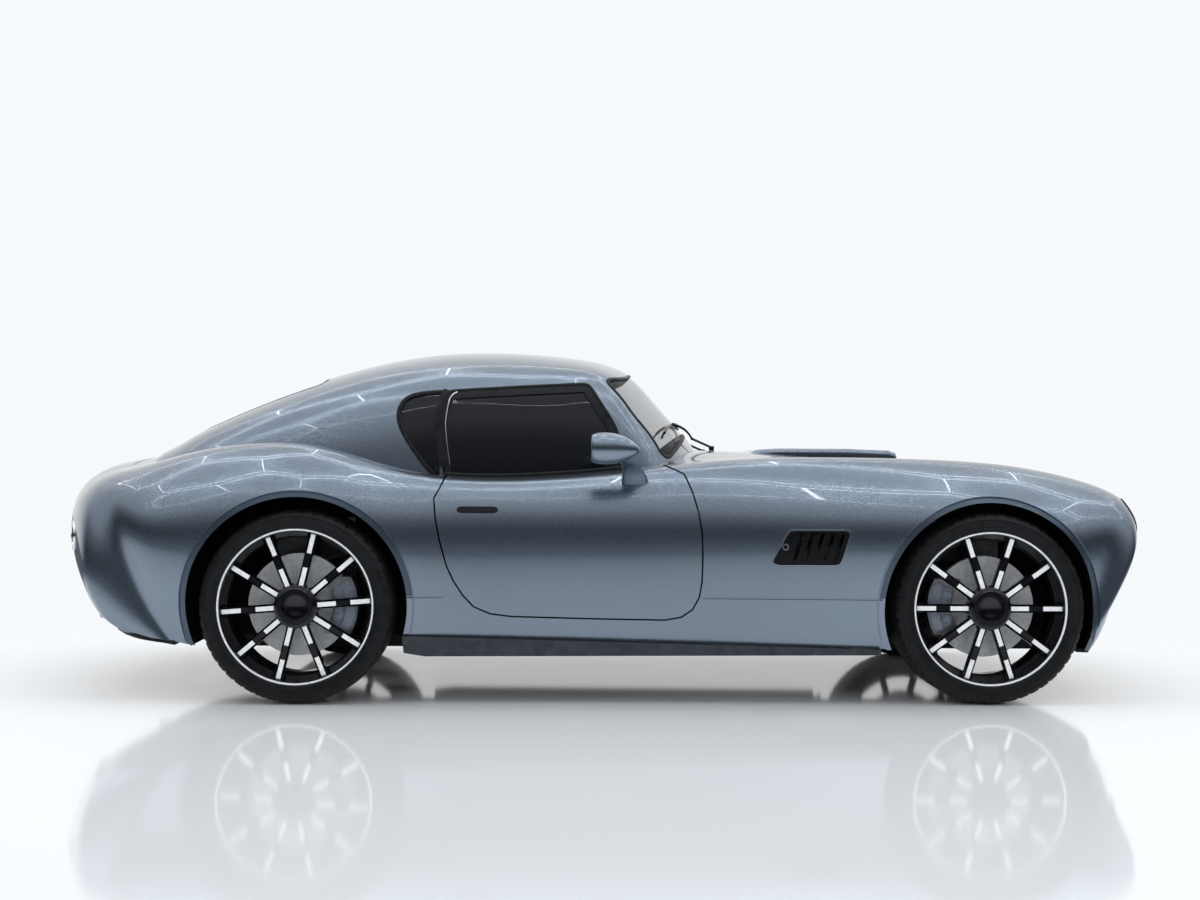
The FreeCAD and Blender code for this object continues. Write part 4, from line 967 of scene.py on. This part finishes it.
def makeIndicator(way, side):
    y, z, radius = lampLook["indicator"]
    y *= way
    n = 36
    dome, up = discOnSkin(y, z, radius, lampLook["dome"], n)
    height = lampLook["domeHeight"]
    rise = [height * math.sqrt(1 - share ** 2) + (0.002 if share < 1 else -0.003)
            for share in lampLook["dome"]]
    dome += up * np.repeat(rise, n)[:, None]
    addPiece(f"indicator_lens_{side}", ringed(dome, n, (-1,)), "lamp_glass", finish=indicatorLens)
    lampRing(f"indicator_rim_{side}", (y, z, radius, [1.12], n), lampLook["indicatorRim"], "handle_black")


for way, side in sides:
    makeHeadlight(way, side)
    makeIndicator(way, side)
    y, z, radius = lampLook["tail"]
    for share, (section, slotName) in tailRing.items():
        disc = (way * y, z, radius, [share / 100], 48, False)
        finish = chrome if slotName == "exhaust_steel" else None
        lampRing(f"tail_ring_{side}_{share}", disc, section, slotName, finish)
print("lamps detailed")

mirrorLook = {
    "centre": (0.0, 0.985, 0.946),
    # along X from the glass to the tip, radius
    "shape": [(-0.044, 0.047), (-0.0495, 0.0475), (-0.05, 0.05), (-0.047, 0.054), (-0.038, 0.0585),
              (-0.022, 0.0618), (0.0, 0.063), (0.025, 0.0612), (0.05, 0.056), (0.075, 0.0465),
              (0.097, 0.0345), (0.113, 0.0225), (0.123, 0.012), (0.1275, 0.004)],
    "droop": 0.006,
    "ridge": 0.06,
    # x y z, half length and half width
    "neck": [
        (0.118, 0.812, 0.812, 0.052, 0.024), (0.113, 0.842, 0.846, 0.046, 0.021),
        (0.105, 0.872, 0.868, 0.036, 0.017), (0.092, 0.905, 0.886, 0.029, 0.0145),
        (0.078, 0.935, 0.9, 0.026, 0.014), (0.066, 0.958, 0.918, 0.027, 0.015),
        (0.058, 0.97, 0.935, 0.027, 0.015)
    ],
    "glass": [(-0.0443, 0.0462), (-0.0458, 0.0462), (-0.0466, 0.044), (-0.0472, 0.024), (-0.0474, 0.002)],
}


def makeMirror(way, side):
    door = "door_" + side
    cx, cy, cz = mirrorLook["centre"]
    shell = []
    for x, r in mirrorLook["shape"]:
        middle = cz - mirrorLook["droop"] * max(0.0, x / 0.128) ** 2
        for c, s in circle(48):
            # a soft ridge runs along both flanks
            rise = r * s * (1.0 - mirrorLook["ridge"] * abs(s) ** 6)
            shell.append((cx + x, way * (cy + r * c * 0.98), middle + rise * 0.99))
    housing = addPiece(f"mirror_housing_{side}", ringed(shell, 48), "body_paint", door)
    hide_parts("mirror_" + side)
    neck = []
    for x, y, z, rx, ry in mirrorLook["neck"]:
        neck += [(x + rx * c, way * (y + ry * s), z) for c, s in circle(32)]
    addPiece(f"mirror_neck_{side}", ringed(neck, 32), "body_paint", door)
    glass = []
    for x, r in mirrorLook["glass"]:
        glass += [(cx + x, way * (cy + r * c * 0.98), cz + r * s * 0.97) for c, s in circle(48)]
    addPiece(f"mirror_glass_{side}", ringed(glass, 48), "exhaust_steel", door, chrome)


for way, side in sides:
    makeMirror(way, side)
print("mirrors detailed")

# cabin
seatY = 0.36
channels = (-0.11, -0.055, 0.0, 0.055, 0.11)
cushionLook = {
    # centre x z, half sizes, pitch in degrees, axis of the face, stitched channels
    "base": ((-0.235, 0.445), (0.245, 0.165, 0.055), 4, 2, channels),
    "back": ((-0.487, 0.735), (0.052, 0.165, 0.275), -11, 0, channels),
    "rest": ((-0.535, 0.985), (0.04, 0.115, 0.07), -11, 0, ()),
}
bolsterLook = {
    "bolsterBase": ((-0.235, 0.462), (0.24, 0.038, 0.062), 4, 2, ()),
    "bolsterBack": ((-0.478, 0.715), (0.066, 0.036, 0.25), -11, 2, ()),
    "apart": 0.19,
}
padLook = {"power": 5.0, "crown": 0.1, "channelDepth": 0.007, "channelWidth": 0.0055}


# a crowned closed pad with stitched channels across its face
def cushion(name, y, place, half, pitch, face, seams):
    shape = bmesh.new()
    bmesh.ops.create_cube(shape, size=2.0)
    bmesh.ops.subdivide_edges(shape, edges=shape.edges, cuts=23, use_grid_fill=True)
    turn = Matrix.Rotation(math.radians(pitch), 3, "Y")
    centre = Vector((place[0], y, place[1]))
    power = padLook["power"]
    for v in shape.verts:
        reach = (abs(v.co.x) ** power + abs(v.co.y) ** power + abs(v.co.z) ** power) ** (1 / power)
        q = [c / reach for c in v.co]
        q[face] *= 1.0 - padLook["crown"] * q[1] ** 2
        out = [c * h for c, h in zip(q, half)]
        if q[face] > 0.5:
            for seam in seams:
                off = (out[1] - seam) / padLook["channelWidth"]
                out[face] -= padLook["channelDepth"] * math.exp(-off ** 2)
        v.co = turn @ Vector(out) + centre
    mesh = bpy.data.meshes.new(name)
    shape.to_mesh(mesh)
    shape.free()
    mountPiece(name, mesh, "seat_leather")


for way, side in sides:
    for label, look in cushionLook.items():
        cushion(f"seat_{label}_{side}", seatY * way, *look)
    for hand in (-1, 1):
        for label in ("bolsterBase", "bolsterBack"):
            y = seatY * way + hand * bolsterLook["apart"]
            cushion(f"seat_{label}_{side}_{hand}", y, *bolsterLook[label])

dialLook = {
    "x": 0.1135,
    # y, z, radius
    "dials": [(0.3, 0.765, 0.05), (0.42, 0.765, 0.05), (0.1, 0.775, 0.03), (0.0, 0.775, 0.03),
              (-0.1, 0.775, 0.03)],
    # out along X, share of the radius
    "ring": [(0.01, 1.0), (-0.006, 1.0), (-0.008, 0.95), (-0.006, 0.88), (0.0, 0.86), (0.01, 0.86)],
    "face": [(0.0, 0.87), (-0.001, 0.86), (-0.001, 0.05)],
    # the two depths, then share of the radius and half width round a mark
    "mark": ((-0.0008, -0.002), ((0.66, -0.014), (0.82, -0.014), (0.82, 0.014), (0.66, 0.014))),
    "hand": ((-0.0022, -0.0036), ((-0.1, -0.02), (0.74, -0.008), (0.74, 0.008), (-0.1, 0.02))),
    "markTurns": range(-40, 221, 26),
    "handTurn": 150,
}


def dialBar(y, z, radius, degrees, depths, outline):
    turn, corners = math.radians(degrees), []
    for out in depths:
        for far, wide in outline:
            across, out, up = alongSpoke(turn, far, wide, out)
            corners.append((dialLook["x"] + out, y + radius * across, z + radius * up))
    return boxOf(corners)


for k, (y, z, radius) in enumerate(dialLook["dials"]):
    centre = (dialLook["x"], y, z)
    ring, face = ([(out, radius * share) for out, share in dialLook[word]] for word in ("ring", "face"))
    addPiece(f"dial_ring_{k}", aroundX(centre, ring, 40, ()), "exhaust_steel", finish=chrome)
    addPiece(f"dial_face_{k}", aroundX(centre, face, 40), "handle_black")
    marks = [dialBar(y, z, radius, degrees, *dialLook["mark"]) for degrees in dialLook["markTurns"]]
    marks.append(dialBar(y, z, radius, dialLook["handTurn"], *dialLook["hand"]))
    addPiece(f"dial_marks_{k}", joined(marks), "lamp_glass", finish=machinedFace)
print("cabin detailed")

# wheel arches, vents and skirts
archLook = {
    # centre x, radius, panel
    "front": (1.44, 0.4195, "front_body"),
    "rear": (-1.13, 0.4275, "rear_body"),
}
lipLook = {
    "width": 0.006,
    "height": 0.0028,
    "sink": 0.005,
    "band": 0.0245,  # width of the stepped lip
    "lowest": 0.236,
}
# a darker copy of the body paint, painted shade on the stepped arch lips
paintedLipShade = newFinish("painted_lip_shade", (0.075, 0.1, 0.135), (0.09, 0.118, 0.155), 900, 2, (0.3, 0.4), 0.85)
for end, (cx, radius, panel) in archLook.items():
    turn = np.radians(np.linspace(-24, 204, 120))
    line = np.stack([cx + radius * np.cos(turn), axleZ + radius * np.sin(turn)], 1)
    section = sealSection(lipLook["width"], lipLook["height"], lipLook["sink"])
    for way, side in sides:
        s, n = onFlank(line, way)
        clear = s[:, 2] > lipLook["lowest"]
        bead(f"arch_edge_{end}_{side}", s[clear], n[clear], section, "body_paint", closed=False)
    # the stepped lip inside that edge gets a darker copy of the body paint: painted shade for the recess
    mesh = nodes[panel].data
    mesh.materials.append(paintedLipShade)
    for face in mesh.polygons:
        x, y, z = face.center
        if abs(y) > 0.74 and radius - lipLook["band"] < math.hypot(x - cx, z - axleZ) < radius + 0.001:
            face.material_index = 1

ventLook = {
    "outline": [(689, 648), (908, 649), (915, 635), (878, 520), (857, 515), (638, 514), (623, 529)],
    "boss": (674, 584, 10.4),  # x, z, radius
}
ventBlack = newFinish("vent_black", (0.002, 0.002, 0.003), (0.004, 0.004, 0.005), 40, 3, (0.3, 0.42),
                      0, (600, 0.0002))
setShader(ventBlack, {"Specular IOR Level": 0.2})
skirtSatin = newFinish("skirt_satin", (0.03, 0.036, 0.045), (0.045, 0.053, 0.065), 30, 4, (0.3, 0.42),
                       0.3, (700, 0.0001))
nodes["side_vents"].data.materials[0] = ventBlack
nodes["side_skirts"].data.materials[0] = skirtSatin
for way, side in sides:
    s, n = onFlank(dense(ventLook["outline"], 8.0, True) / 1000.0, way)
    bead(f"vent_edge_{side}", s, n, sealSection(0.006, 0.0018, 0.012), "body_paint")
    x, z, radius = ventLook["boss"]
    s, n = onFlank(np.array([(x + radius * c, z + radius * s) for c, s in circle(32)]) / 1000.0, way)
    bead(f"vent_boss_{side}", s, n, sealSection(0.006, 0.0022, 0.004), "exhaust_steel", finish=chrome)
print("arches and vents edged")

# the seam above each sill and the trim inside each door
seamLook = {
    "z": 0.389,
    "runs": [(-0.735, -0.6), (0.372, 1.035)],
    "section": bothSides([(0.0011, -0.002), (0.0011, 0.0002)]),
}
cardLook = {
    "x": (-0.5, 0.2),
    "z": (0.37, 0.69),
    "grid": (36, 24),
    "corner": 8,  # higher is squarer
    "depth": 0.0535,
    "thick": 0.007,
    "rest": (0.515, 0.565, 0.03),  # foot and top of the arm rest, how far it stands out
    "restEnd": 0.06,
    "quilt": (0.0012, 0.06),  # depth and pitch of the quilting above it
}


def cardTargets():
    cols, rows = cardLook["grid"]
    power = cardLook["corner"]
    targets = []
    for i in range(cols):
        for j in range(rows):
            u, v = i / (cols - 1) * 2 - 1, j / (rows - 1) * 2 - 1
            squeeze = max(abs(u), abs(v)) / (abs(u) ** power + abs(v) ** power) ** (1 / power)
            u, v = (u * squeeze + 1) / 2, (v * squeeze + 1) / 2
            targets.append((mixed(*cardLook["x"], u), mixed(*cardLook["z"], v)))
    return np.array(targets)


# the card's back and front, and the rim between them
def cardFaces():
    grid = np.arange(cardLook["grid"][0] * cardLook["grid"][1]).reshape(cardLook["grid"])
    quads = np.stack([grid[:-1, :-1], grid[:-1, 1:], grid[1:, 1:], grid[1:, :-1]], -1).reshape(-1, 4)
    rim = [*grid[0], *grid[1:, -1], *grid[-1, -2::-1], *grid[-2:0:-1, 0]]
    edges = [(a, b, b + grid.size, a + grid.size) for a, b in zip(rim, rim[1:] + rim[:1])]
    return np.stack([quads, quads + grid.size], 1).reshape(-1, 4).tolist() + edges


def makeDoorCard(way, side):
    targets = cardTargets()
    s, n = onFlank(targets, way)
    x, z = targets.T
    x0, x1 = cardLook["x"]
    low, high, swell = cardLook["rest"]
    wave, pitch = cardLook["quilt"]
    shelf = np.exp(-(((z - (low + high) / 2) / (high - low) * 1.6) ** 4)) * swell
    ends = np.clip((x - x0) / cardLook["restEnd"], 0, 1) * np.clip((x1 - x) / cardLook["restEnd"], 0, 1)
    quilt = wave * np.cos(x * 2 * math.pi / pitch) * (z > high + 0.02)
    front = s - n * (cardLook["depth"] + cardLook["thick"] + shelf * ends + quilt)[:, None]
    back = s - n * cardLook["depth"]
    addPiece(f"door_card_{side}", (list(back) + list(front), cardFaces()), "seat_leather", "door_" + side)


for way, side in sides:
    for k, run in enumerate(seamLook["runs"]):
        s, n = onFlank(np.stack([np.linspace(*run, 40), np.full(40, seamLook["z"])], 1), way)
        bead(f"sill_seam_{side}_{k}", s, n, seamLook["section"], "liner_plastic", closed=False)
    makeDoorCard(way, side)
print("doors trimmed")
